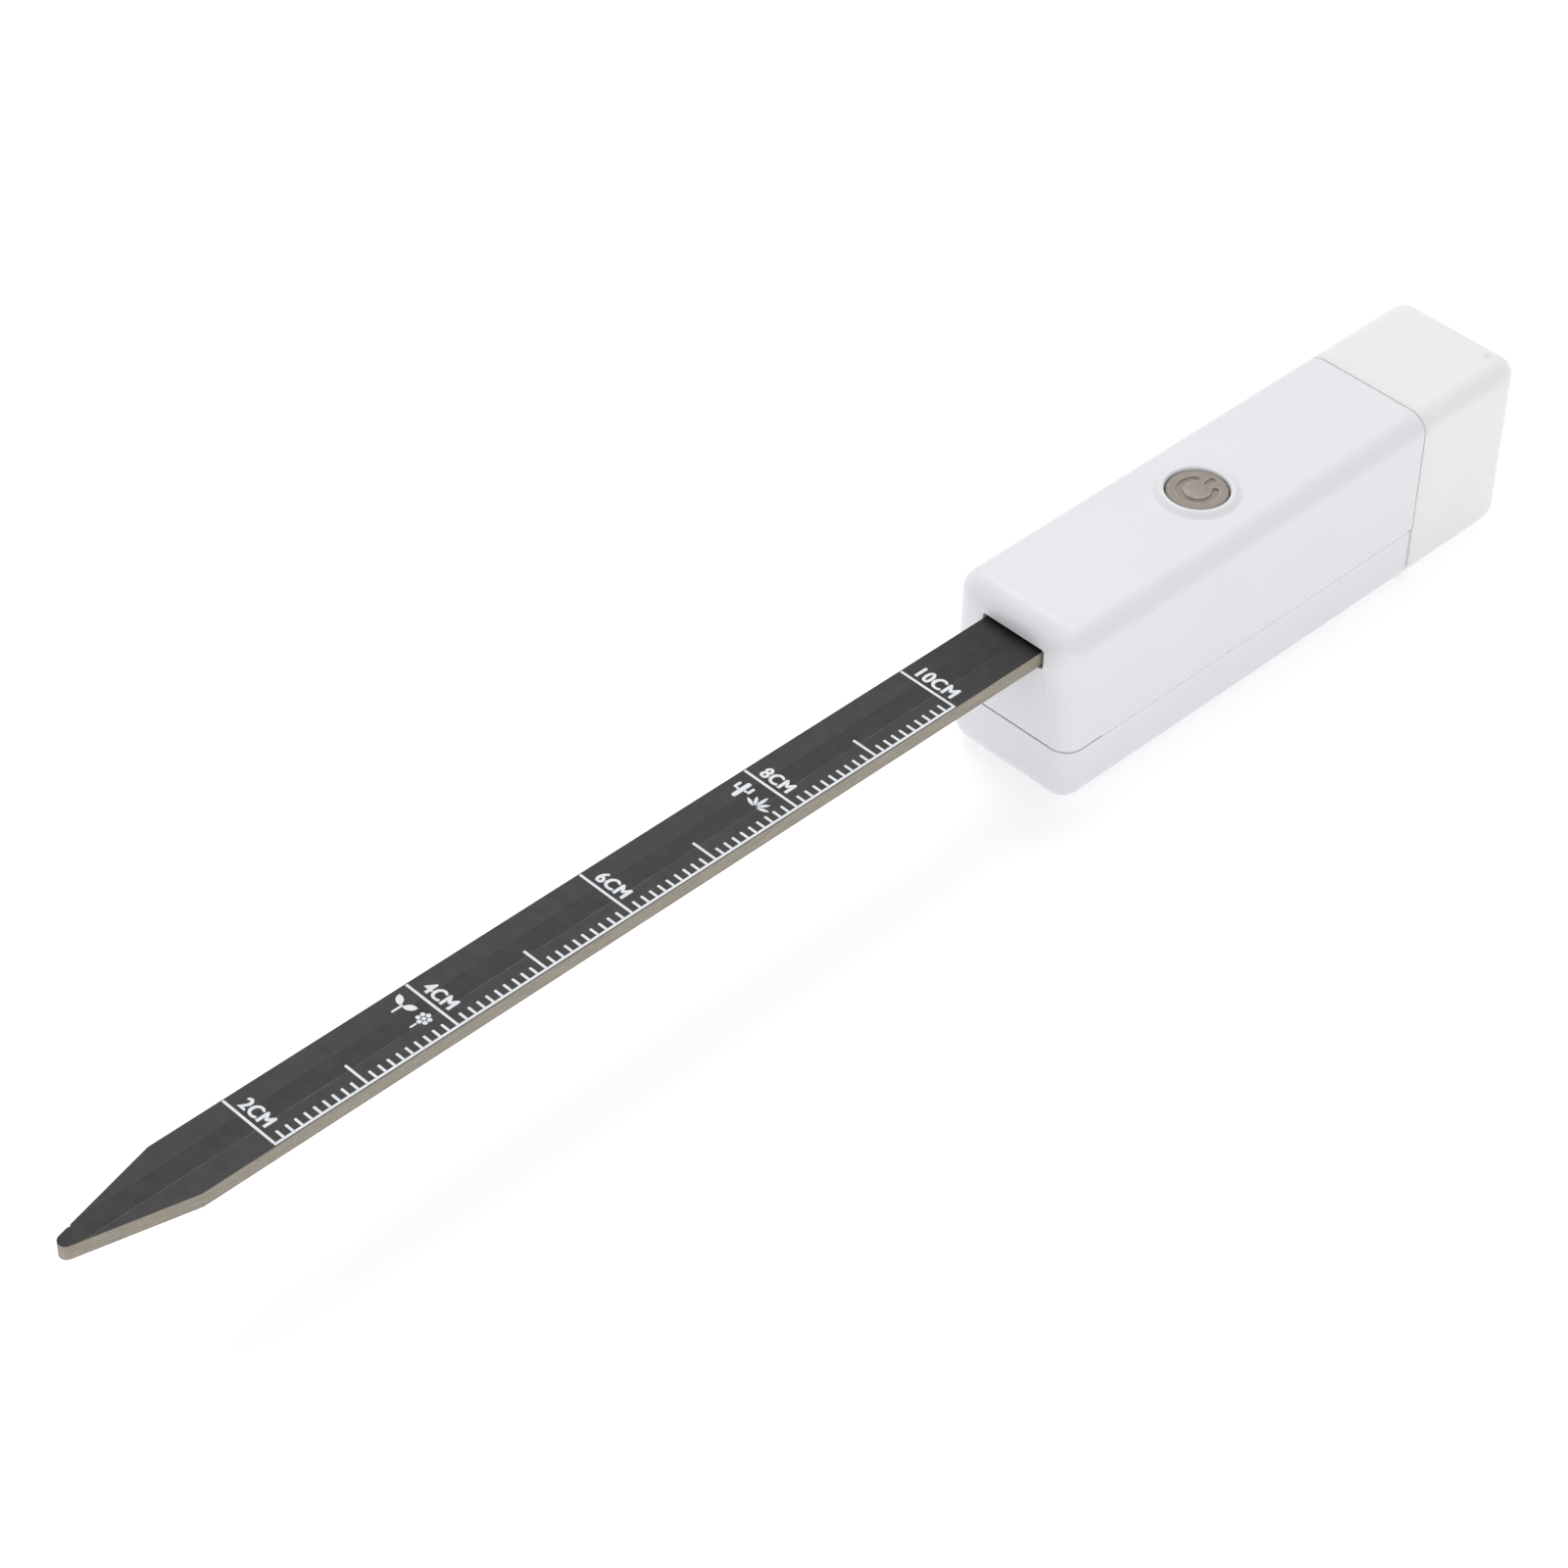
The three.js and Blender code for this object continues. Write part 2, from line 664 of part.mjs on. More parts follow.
// A contact plate: a square of strip with a tail to the board, stepped back by setback where it must be.
function contactPlate(x, setback = 0) {
  const half = plateSide / 2;
  const tail = [-tailWidth / 2, tailWidth / 2];
  const shelf = roofTop + touch;
  return block(x, x + plateGauge, -half, half, cellAxis - half, cellAxis + half)
    .add(block(x, x + plateGauge, ...tail, cellAxis, shelf + plateGauge))
    .add(block(x, x + setback + plateGauge, ...tail, shelf, shelf + plateGauge))
    .add(block(x + setback, x + setback + plateGauge, ...tail, shelf, boardUnderside - solder));
}

// The coil spring that presses on the cell's flat end, narrowing towards it.
function minusSpring() {
  const radius = springWire / 2;
  const reach = springLength - springWire;
  const steps = springTurns * 14;
  const points = [];
  for (let i = 0; i <= steps; i++) {
    const share = i / steps;
    const turn = share * springTurns * 2 * Math.PI;
    const coil = springBase + (springTop - springBase) * share;
    const x = springX + radius + reach * share;
    points.push(new THREE.Vector3(x, coil * Math.cos(turn), coil * Math.sin(turn) + cellAxis));
  }
  const section = new THREE.Shape();
  section.absarc(0, 0, radius, 0, 2 * Math.PI);
  const path = new THREE.CatmullRomCurve3(points);
  return solid(new THREE.ExtrudeGeometry(section, { steps, extrudePath: path, curveSegments: 4 }));
}

// ---- Assembly ----

const sensor = new THREE.Group();
const model = new THREE.Group();
model.position.x = -endX / 2; // the origin lies under the middle of the whole sensor
sensor.add(model);

const whitePlastic = () => finish(0xe9eaee, 0.45);
const blackBody = () => finish(0x1c1d20, 0.5);
const tanBody = () => finish(0xb08a5c, 0.5);
const ferrite = () => finish(0x3b3a38, 0.7);
const bareSteel = () => finish(0xc4c6c9, 0.3, 1);

model.add(part("upper_shell", upperShell(), whitePlastic()));
model.add(part("battery_cover", batteryCover(), whitePlastic()));
model.add(part("diffuser_cap", diffuserCap(), finish(0xf0f0ee, 0.55)));
model.add(part("probe_board", probeBoard(), finish(0x323336, 0.4)));
model.add(part("slot_seal", slotSeal(), finish(0x6d6d70, 0.8)));

const buttonStack = new THREE.Group();
buttonStack.position.x = buttonX;
model.add(buttonStack);
buttonStack.add(part("button_cap", buttonCap(), finish(0x9b8f84, 0.55)));
buttonStack.add(part("switch_plunger", switchPlunger(), blackBody()));
buttonStack.add(part("switch_dome", switchDome(), bareSteel()));
buttonStack.add(part("switch_cover", switchCover(), bareSteel()));
buttonStack.add(part("switch_base", switchBase(), blackBody()));

// Components hung face down under the board: where each one is, and how far it lies to the left.
const soicChip = { length: 4.9, width: 3.9, height: 1.4, leads: 4, pitch: 1.27 };
const sotChip = { length: 2.9, width: 1.6, height: 1.1, leads: 3, pitch: 0.95 };
const coil = { side: 4, height: 1.4, flange: 0.35, winding: 1.7 };
const capacitor = { length: 2, width: 1.25, height: 1, end: 0.45 };
const resistor = { length: 1.6, width: 0.8, height: 0.5, end: 0.35 };
const boostX = rearScrewX - 5.5;
const boostEndX = boostX - 4;
const sensingX = faceX + 7;
const hung = [
  ["controller_chip", leadedChip(soicChip), frontScrewX + 5.5, 0, blackBody],
  ["boost_chip", leadedChip(sotChip), boostX, -3.1, blackBody],
  ["boost_inductor", inductor(coil), boostX, 2.6, ferrite],
  ["input_capacitor", endedChip(capacitor), boostEndX, -3, tanBody],
  ["output_capacitor", endedChip(capacitor), boostEndX, 3, tanBody],
  ["sensing_capacitor", endedChip(capacitor), sensingX, -3, tanBody],
  ["sensing_resistor", endedChip(resistor), sensingX, 3, blackBody],
  ["pull_up_resistor", endedChip(resistor), frontScrewX + 3.5, 3.6, blackBody],
  ["led_resistor", endedChip(resistor), shellEnd - 4.8, 3.6, blackBody],
];
for (const [name, body, x, y, material] of hung) {
  const mesh = part(name, body, material());
  mesh.position.set(x, y, boardUnderside - solder);
  mesh.rotation.x = Math.PI;
  model.add(mesh);
}

// Three lights across the board's rear end, inside the cap.
const lights = [
  ["led_dry", -ledPitch, 0xd86a5c],
  ["led_moist", 0, 0x7fc98a],
  ["led_wet", ledPitch, 0x6d9fd8],
];
for (const [name, y, color] of lights) {
  const mesh = part(name, ledBody(), finish(color, 0.3));
  mesh.position.set(ledX, y, boardTop + solder);
  model.add(mesh);
}

const screws = [
  ["board_screw_front", frontScrewX],
  ["board_screw_rear", rearScrewX],
];
for (const [name, x] of screws) {
  const mesh = part(name, boardScrew(), finish(0xa9abae, 0.35, 1));
  mesh.position.x = x;
  model.add(mesh);
}

model.add(part("battery_cradle", batteryCradle(), finish(0xdedfe2, 0.6)));
model.add(part("minus_contact", contactPlate(minusPlateX, boardStep + fit - minusPlateX), bareSteel()));
model.add(part("minus_spring", minusSpring(), bareSteel()));
model.add(part("plus_contact", contactPlate(plusPlateX), bareSteel()));
model.add(part("cell_can", cellCan(), finish(0xb9bbbe, 0.3, 1)));
model.add(part("cell_core", cellCore(), finish(0x4a4a4c, 0.8)));
model.add(part("cell_sleeve", cellSleeve(), finish(0x4f6f57, 0.4)));
model.add(part("cell_plus_cap", cellPlusCap(), finish(0xb9bbbe, 0.3, 1)));

export default sensor;
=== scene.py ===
# %% [markdown]
# # A soil moisture sensor
# A flat circuit-board probe with a printed scale, held by a square white handle with a power button, a
# frosted light cap and a sliding battery cover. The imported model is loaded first, and every piece is built
# around it.

# %% Load the frame
import json
import math

import bmesh
import bpy
from mathutils import Matrix, Vector

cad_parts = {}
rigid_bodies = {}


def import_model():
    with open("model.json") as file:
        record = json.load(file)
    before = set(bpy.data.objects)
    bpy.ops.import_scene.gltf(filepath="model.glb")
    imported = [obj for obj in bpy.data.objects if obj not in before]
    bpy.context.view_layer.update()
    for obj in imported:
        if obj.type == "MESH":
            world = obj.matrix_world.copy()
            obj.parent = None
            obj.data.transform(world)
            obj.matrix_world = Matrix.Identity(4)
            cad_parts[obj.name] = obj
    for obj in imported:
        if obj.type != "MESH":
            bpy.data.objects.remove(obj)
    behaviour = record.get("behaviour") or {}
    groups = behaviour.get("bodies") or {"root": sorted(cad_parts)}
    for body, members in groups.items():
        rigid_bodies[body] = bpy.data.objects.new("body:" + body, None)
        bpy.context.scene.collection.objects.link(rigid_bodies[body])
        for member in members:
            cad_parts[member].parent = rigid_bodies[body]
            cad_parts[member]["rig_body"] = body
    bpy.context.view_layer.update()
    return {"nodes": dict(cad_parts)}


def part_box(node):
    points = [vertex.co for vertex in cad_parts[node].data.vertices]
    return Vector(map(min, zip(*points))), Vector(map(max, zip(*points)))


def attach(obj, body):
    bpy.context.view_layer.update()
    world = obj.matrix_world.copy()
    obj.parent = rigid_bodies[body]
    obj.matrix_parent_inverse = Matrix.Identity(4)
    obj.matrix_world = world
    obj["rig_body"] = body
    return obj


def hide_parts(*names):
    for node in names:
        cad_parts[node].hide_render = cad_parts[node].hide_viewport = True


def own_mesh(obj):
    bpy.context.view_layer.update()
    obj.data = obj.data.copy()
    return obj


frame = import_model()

# %% [markdown]
# ## Measures
# Blender works in metres, but this object has details of a tenth of a millimetre, and the mesh tools are
# happier with numbers near one. So every piece is modelled in millimetres and made a thousand times
# smaller at the end. Places come from the boxes of the imported nodes. Only sizes that a box can't tell are
# given here.

# %% Read places from the frame, in millimetres
MM = 0.001
X, Y, Z = Vector((1, 0, 0)), Vector((0, 1, 0)), Vector((0, 0, 1))


def box_mm(node):
    """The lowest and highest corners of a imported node, in millimetres."""
    low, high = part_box(node)
    return low / MM, high / MM


shell_low, shell_high = box_mm("upper_shell")
cover_high = box_mm("battery_cover")[1]
cap_low, cap_high = box_mm("diffuser_cap")
button_low, button_high = box_mm("button_cap")
board_low, board_high = box_mm("probe_board")

front_x = shell_low.x
rear_x = shell_high.x
end_x = cap_high.x
half_width = shell_high.y
roof_z = cap_high.z
button_x = (button_low.x + button_high.x) / 2
print(f"handle {end_x - front_x:.1f} x {2 * half_width:.1f} x {roof_z:.1f} mm, button at x = {button_x:.2f}")

# %% Sizes that the boxes can't tell, in millimetres
edge_radius = 2.1
wall = 1.3
cap_end_wall = 1.5
inner_radius = 0.8
seam = 0.2
lip = 0.1
blade_width = 7.1
slot_gap = 0.3
button_radius = 3.05
bore_radius = 3.2
inner_half = half_width - wall
ceiling = roof_z - wall
touching = 1e-4
same_point = 1e-5
slack = 1e-3
sharp_angle = math.radians(40)

# %% [markdown]
# ## Making a piece
# One helper does the same work for every piece: it turns a finished bmesh into an object, keeps large
# flats flat beside a rounded edge, and tells the frame which body the piece rides on. Another counts the
# edges that have only one face, because a closed piece has none of them and a leak then shows at once.

# %% Turn a bmesh into a riding piece
def piece(bm, name, body, materials, replaces=(), soft_edge=0.0):
    """A bmesh in millimetres becomes an object in metres that rides on a body of the frame."""
    bmesh.ops.scale(bm, vec=(MM, MM, MM), verts=bm.verts)
    mesh = bpy.data.meshes.new(name)
    bm.to_mesh(mesh)
    bm.free()
    for material in materials:
        mesh.materials.append(material)
    made = bpy.data.objects.new(name, mesh)
    bpy.context.scene.collection.objects.link(made)
    mesh.shade_smooth()
    if soft_edge:
        rounding = made.modifiers.new("soft edges", "BEVEL")
        rounding.width = soft_edge * MM
        rounding.segments = 2
        rounding.limit_method = "ANGLE"
        rounding.angle_limit = sharp_angle
    else:
        mesh.set_sharp_from_angle(angle=sharp_angle)
    flats = made.modifiers.new("flat faces stay flat", "WEIGHTED_NORMAL")
    flats.keep_sharp = True
    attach(made, body)
    if replaces:
        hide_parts(*replaces)
    open_edges = count_open(mesh)
    print(f"{name}: {len(mesh.polygons)} faces, {open_edges} open edges, rides on {body}")
    return made


def count_open(mesh):
    """How many edges have only one face, which a closed piece has none of."""
    uses = {}
    for polygon in mesh.polygons:
        for key in polygon.edge_keys:
            uses[key] = uses.get(key, 0) + 1
    return sum(1 for count in uses.values() if count != 2)


# %% [markdown]
# ## Outlines
# Slots, grooves and signs all start as a closed outline. A vertex is walked along straight lines and
# turned round corners with the spin tool, which is how a draughtsman would draw them with a ruler and a
# compass.

# %% Draw a closed outline
def outline(bm, start, moves):
    """Walks a vertex from start. A move is a point to go to, or a centre, an angle and a number of steps."""
    path = [bm.verts.new(start)]
    for move in moves:
        if isinstance(move, Vector):
            added = bmesh.ops.extrude_vert_indiv(bm, verts=[path[-1]])["verts"]
            added[0].co = move
            path += added
            continue
        centre, angle, steps = move
        for _ in range(steps):
            turned_by = bmesh.ops.spin(bm, geom=[path[-1]], cent=centre, axis=Z, angle=angle / steps, steps=1)
            path += [v for v in turned_by["geom_last"] if isinstance(v, bmesh.types.BMVert)]
    if (path[-1].co - path[0].co).length < touching:
        bmesh.ops.pointmerge(bm, verts=[path[0], path[-1]], merge_co=path[0].co)
        path.pop()
    else:
        bm.edges.new((path[-1], path[0]))
    return path


def loop_edges(path):
    """The edges that join an outline's vertices, all the way round."""
    wanted = set(path)
    return list({e for v in path for e in v.link_edges if e.other_vert(v) in wanted})


def rounded_rectangle(bm, width, height, radius, place, steps=6):
    """A rectangle with round corners, drawn flat and then moved by the matrix place."""
    right, top = width / 2 - radius, height / 2 - radius
    corners = [(right, -top), (right, top), (-right, top), (-right, -top)]
    starts = [(right, -height / 2), (width / 2, top), (-right, height / 2), (-width / 2, -top)]
    moves = []
    for corner, start in zip(corners, starts):
        moves += [Vector((*start, 0)), (Vector((*corner, 0)), math.pi / 2, steps)]
    path = outline(bm, moves.pop(0), moves)
    bmesh.ops.transform(bm, matrix=place, verts=path)
    return path


def facing(right, up, origin):
    """The matrix that lays a flat drawing in a plane, with its own right and up."""
    turn = Matrix((right, up, right.cross(up))).transposed().to_4x4()
    return Matrix.Translation(origin) @ turn


# %% [markdown]
# ## Skins and panels
# The handle is thin-walled, so each part is an outer skin and an inner skin that meet at a rim. A flat
# panel with holes in it is awkward to cut, so the panel is taken out, the holes are drawn, and the flat is
# filled again.

# %% Helpers for skins and panels
def rounded_box(bm, low, high, radius, segments=8):
    """A box between two corners with all its edges rounded; gives back its faces."""
    made = bmesh.ops.create_cube(bm, size=1)["verts"]
    bmesh.ops.scale(bm, vec=high - low, verts=made)
    bmesh.ops.translate(bm, vec=(low + high) / 2, verts=made)
    edges = list({e for v in made for e in v.link_edges})
    keep = set(bm.faces) - {f for v in made for f in v.link_faces}
    bmesh.ops.bevel(
        bm, geom=edges, offset=radius, offset_type="OFFSET", affect="EDGES",
        segments=segments, profile=0.5, material=-1,
    )
    return [f for f in bm.faces if f not in keep]


def cut_away(bm, faces, level, axis, above):
    """Cuts a skin with a plane across one axis, and drops the part above it or below it."""
    parts = list({g for f in faces for g in (f, *f.edges, *f.verts)})
    normal = axis if above else -axis
    at = axis * level
    bmesh.ops.bisect_plane(bm, geom=parts, dist=same_point, plane_co=at, plane_no=normal, clear_outer=True)
    return [f for f in faces if f.is_valid]


def take_panel(bm, direction, level):
    """Takes out the flat face that looks this way at this level, and gives back its border."""
    found = [f for f in bm.faces if f.normal.dot(direction) > 0.999]
    found = [f for f in found if abs(f.calc_center_median().dot(direction) - level) < 1e-3]
    panel = max(found, key=lambda f: f.calc_area())
    border = list(panel.edges)
    bmesh.ops.delete(bm, geom=[panel], context="FACES_ONLY")
    return border


def added(bm, before):
    """The faces that weren't there before."""
    return [f for f in bm.faces if f not in before]


def push(bm, faces, shift, keep=False):
    """Moves faces as one and leaves walls behind them; the old faces go, unless they are kept as a floor."""
    pushed = bmesh.ops.extrude_face_region(bm, geom=faces)["geom"]
    moved = [v for v in pushed if isinstance(v, bmesh.types.BMVert)]
    bmesh.ops.translate(bm, vec=shift, verts=moved)
    if not keep:
        bmesh.ops.delete(bm, geom=[f for f in faces if f.is_valid], context="FACES")


def flip(bm, faces):
    """Turns faces over, for a skin that is seen from inside."""
    bmesh.ops.reverse_faces(bm, faces=[f for f in faces if f.is_valid])


def soften_rim(bm, edges):
    """Rounds the outer rim of a skin to the size of a moulded lip."""
    rim_edges = [e for e in edges if e.is_valid]
    bmesh.ops.bevel(bm, geom=rim_edges, offset=lip, affect="EDGES", segments=2, profile=0.5, material=-1)


def fill(bm, edges):
    """Fills the flat between outlines, however many holes it has."""
    bmesh.ops.triangle_fill(bm, edges=edges, use_beauty=True, use_dissolve=False)


def tube(bm, loops):
    """Joins outlines of equal count, one after another."""
    for first, second in zip(loops, loops[1:]):
        bmesh.ops.bridge_loops(bm, edges=loop_edges(first) + loop_edges(second))


def turned(bm, centre, profile, steps=64):
    """Spins a profile of (radius, height) points about an upright axis; gives back its first ring."""
    rail = [bm.verts.new((centre.x + radius, centre.y, height)) for radius, height in profile]
    edges = [bm.edges.new(pair) for pair in zip(rail, rail[1:])]
    before = set(bm.verts) - set(rail)
    bmesh.ops.spin(bm, geom=rail + edges, cent=centre, axis=Z, angle=2 * math.pi, steps=steps, use_merge=True)
    radius, height = profile[0]
    made = set(bm.verts) - before
    poles = [v for v in made if (v.co.xy - centre.xy).length < same_point]
    if poles:
        bmesh.ops.remove_doubles(bm, verts=poles, dist=same_point)
    level = [v for v in made if v.is_valid and abs(v.co.z - height) < touching]
    return [v for v in level if abs((v.co.xy - centre.xy).length - radius) < touching]


def join_corners(bm, x, z):
    """Joins the outer and inner skins by an edge where two rims meet, on both sides."""
    corners = [v for v in bm.verts if abs(v.co.x - x) < touching and abs(v.co.z - z) < touching]
    for side in (1, -1):
        pair = [v for v in corners if v.co.y * side > 0]
        bm.edges.new(sorted(pair, key=lambda v: abs(v.co.y)))


def rim(bm, axis, level):
    """Closes the gap between an outer and an inner skin in one plane."""
    number = max(range(3), key=lambda i: axis[i])
    in_plane = lambda e: all(abs(v.co[number] - level) < touching for v in e.verts)
    fill(bm, [e for e in bm.edges if len(e.link_faces) < 2 and in_plane(e)])


# %% [markdown]
# ## Effects that several finishes share
# Moulded plastic is never one even colour: it has a fine eroded grain, its tone drifts slowly, its edges
# are rubbed brighter and carry a painted highlight, dust lies on it, and shade is painted into its seams.
# Each effect is a node group, placed in a material with values of its own.

# %% Node helpers
def add(tree, kind, sockets=None, **settings):
    """Adds a shader node, sets its options, and links or sets its inputs."""
    made = tree.nodes.new("ShaderNode" + kind)
    for name, value in settings.items():
        setattr(made, name, value)
    for name, value in (sockets or {}).items():
        if isinstance(value, bpy.types.NodeSocket):
            tree.links.new(value, made.inputs[name])
        else:
            made.inputs[name].default_value = value
    return made


def effect(name, inputs, outputs):
    """An empty node group with named inputs and outputs; gives back its tree and the two end nodes."""
    tree = bpy.data.node_groups.new(name, "ShaderNodeTree")
    for label, kind, value in inputs:
        socket = tree.interface.new_socket(label, in_out="INPUT", socket_type="NodeSocket" + kind)
        socket.default_value = value
    for label, kind in outputs:
        tree.interface.new_socket(label, in_out="OUTPUT", socket_type="NodeSocket" + kind)
    return tree, tree.nodes.new("NodeGroupInput").outputs, tree.nodes.new("NodeGroupOutput")


def maths(tree, operation, *values):
    """One step of arithmetic; gives back its result."""
    made = add(tree, "Math", operation=operation)
    for socket, value in zip(made.inputs, values):
        if isinstance(value, bpy.types.NodeSocket):
            tree.links.new(value, socket)
        else:
            socket.default_value = value
    return made.outputs[0]


def place(tree, stretch=(1, 1, 1), shift=(0, 0, 0)):
    """The surface's own position in millimetres, stretched where a pattern runs one way."""
    position = add(tree, "TexCoord").outputs["Object"]
    scale = [s / MM for s in stretch]
    return add(tree, "Mapping", {"Vector": position, "Scale": scale, "Location": shift}).outputs[0]


def noise(tree, vector, size, detail=3.0, roughness=0.55):
    """Smooth noise whose blobs are about this many millimetres across."""
    sockets = {"Vector": vector, "Scale": 1 / size, "Detail": detail, "Roughness": roughness}
    return add(tree, "TexNoise", sockets).outputs["Fac"]


def ramp(tree, value, low, high, to_low=0.0, to_high=1.0):
    """Stretches a value's range from low..high to to_low..to_high, and clips it."""
    sockets = {"Value": value, "From Min": low, "From Max": high, "To Min": to_low, "To Max": to_high}
    return add(tree, "MapRange", sockets).outputs["Result"]


def blend(tree, share, first, second, kind="MIX"):
    """Mixes two colours by a share."""
    mixed = add(tree, "Mix", data_type="RGBA", blend_type=kind, clamp_factor=True)
    for socket, value in ((mixed.inputs[0], share), (mixed.inputs[6], first), (mixed.inputs[7], second)):
        if isinstance(value, bpy.types.NodeSocket):
            tree.links.new(value, socket)
        else:
            socket.default_value = value
    return mixed.outputs[2]


print("node helpers ready")

# %% Grain: the spark-eroded texture of a moulding tool
def make_grain():
    tree, given, result = effect("moulded grain", [("Size", "Float", 0.1)], [("Height", "Float")])
    position = place(tree)
    scale = maths(tree, "DIVIDE", 1.0, given["Size"])
    fine = add(tree, "TexNoise", {"Vector": position, "Scale": scale, "Detail": 4.0, "Roughness": 0.6})
    pits = add(tree, "TexVoronoi", {"Vector": position, "Scale": scale}, feature="SMOOTH_F1")
    height = maths(tree, "MULTIPLY_ADD", pits.outputs["Distance"], 0.6, fine.outputs["Fac"])
    tree.links.new(height, result.inputs["Height"])
    return tree


# %% Drift: a slow change of tone over the surface
def make_drift():
    inputs = [("Colour", "Color", (1, 1, 1, 1)), ("Amount", "Float", 0.05), ("Size", "Float", 9.0)]
    tree, given, result = effect("tone drift", inputs, [("Colour", "Color")])
    position = place(tree)
    scale = maths(tree, "DIVIDE", 1.0, given["Size"])
    slow = add(tree, "TexNoise", {"Vector": position, "Scale": scale, "Detail": 2.0, "Roughness": 0.5})
    swing = maths(tree, "MULTIPLY", maths(tree, "SUBTRACT", slow.outputs["Fac"], 0.5), given["Amount"])
    tone = maths(tree, "ADD", 1.0, maths(tree, "MULTIPLY", swing, 2.0))
    tint = add(tree, "HueSaturation", {"Color": given["Colour"], "Value": tone}).outputs["Color"]
    tree.links.new(tint, result.inputs["Colour"])
    return tree


# %% Edge wear and painted highlight: where a rounded normal leaves the true one
def make_edge_wear_and_highlight():
    tree, given, result = effect("edge wear and highlight", [("Radius", "Float", 0.2)], [("Mask", "Float")])
    radius = maths(tree, "MULTIPLY", given["Radius"], MM)
    soft = add(tree, "Bevel", {"Radius": radius}, samples=4).outputs[0]
    true = add(tree, "NewGeometry").outputs["True Normal"]
    dot = add(tree, "VectorMath", operation="DOT_PRODUCT")
    tree.links.new(soft, dot.inputs[0])
    tree.links.new(true, dot.inputs[1])
    bent = ramp(tree, dot.outputs["Value"], 0.985, 0.88)
    patchy = ramp(tree, noise(tree, place(tree), 0.7), 0.35, 0.6, 0.35, 1.0)
    tree.links.new(maths(tree, "MULTIPLY", bent, patchy), result.inputs["Mask"])
    return tree


# %% Crevice shade, painted: darker where the surface sees little of the room
def make_crevice():
    tree, given, result = effect("painted crevice shade", [("Reach", "Float", 0.5)], [("Mask", "Float")])
    reach = maths(tree, "MULTIPLY", given["Reach"], MM)
    seen = add(tree, "AmbientOcclusion", {"Distance": reach}, samples=6, only_local=True).outputs["AO"]
    tree.links.new(ramp(tree, seen, 0.75, 0.15), result.inputs["Mask"])
    return tree


# %% Dust: scattered specks
def make_dust():
    inputs = [("Spacing", "Float", 0.5), ("Speck", "Float", 0.09)]
    tree, given, result = effect("dust specks", inputs, [("Mask", "Float")])
    scale = maths(tree, "DIVIDE", 1.0, given["Spacing"])
    cells = add(tree, "TexVoronoi", {"Vector": place(tree), "Scale": scale, "Randomness": 1.0})
    near = maths(tree, "LESS_THAN", cells.outputs["Distance"], given["Speck"])
    chosen = add(tree, "SeparateColor", {"Color": cells.outputs["Color"]}).outputs["Red"]
    few = maths(tree, "GREATER_THAN", chosen, 0.8)
    tree.links.new(maths(tree, "MULTIPLY", near, few), result.inputs["Mask"])
    return tree


grain, drift, edge_wear_and_highlight, crevice, dust = make_grain(), make_drift(), make_edge_wear_and_highlight(), make_crevice(), make_dust()
print("effects:", [tree.name for tree in (grain, drift, edge_wear_and_highlight, crevice, dust)])

# %% Place an effect in a material
def use(tree, group, **values):
    """Places a shared effect with its own values and gives back its result."""
    made = tree.nodes.new("ShaderNodeGroup")
    made.node_tree = group
    for name, value in values.items():
        socket = made.inputs[name.capitalize()]
        if isinstance(value, bpy.types.NodeSocket):
            tree.links.new(value, socket)
        else:
            socket.default_value = value
    return made.outputs[0]


def new_material(name, **uniform):
    """A material with a Principled shader; uniform values go straight to the shader's own sockets."""
    made = bpy.data.materials.new(name)
    made.use_nodes = True
    shader = made.node_tree.nodes["Principled BSDF"]
    for label, value in uniform.items():
        shader.inputs[label.replace("_", " ")].default_value = value
    return made, made.node_tree, shader


def layer(tree, base, mask, share, colour):
    """Lays a colour over the base where a mask is, no stronger than its share."""
    return blend(tree, maths(tree, "MULTIPLY", mask, share), base, (*colour, 1))


def patches(tree, size, low, high, to_low=0.0, to_high=1.0, stretch=(1, 1, 1), detail=3.0, roughness=0.55):
    """Noise of this size, in millimetres, with its middle range spread out."""
    return ramp(tree, noise(tree, place(tree, stretch), size, detail, roughness), low, high, to_low, to_high)


def finish(tree, shader, base, roughness, height, depth):
    """Joins the colour, the roughness and a bump, with its depth in millimetres, to the shader."""
    tree.links.new(base, shader.inputs["Base Color"])
    tree.links.new(roughness, shader.inputs["Roughness"])
    made = add(tree, "Bump", {"Height": height, "Distance": depth * MM, "Strength": 1.0})
    tree.links.new(made.outputs["Normal"], shader.inputs["Normal"])


# %% [markdown]
# ## White housing plastic
# The handle is satin ABS with a cool white and a very fine eroded grain. The grain is bump, because it is
# a few microns deep. Edges that hands touch are polished a little smoother and are lightened, partly as
# wear and partly as a painted highlight, and shade is painted grey into the seams.

# %% Moulded plastics
# The seam colour is painted shade; the two lip colours on the next line lighten lips as wear and as a painted
# highlight.
seam_shade_grey, speck_brown, gate_grey = (0.16, 0.15, 0.14), (0.35, 0.33, 0.3), (0.42, 0.42, 0.42)
wear_and_highlight_white, wear_and_highlight_taupe = (0.95, 0.95, 0.96), (0.6, 0.56, 0.5)


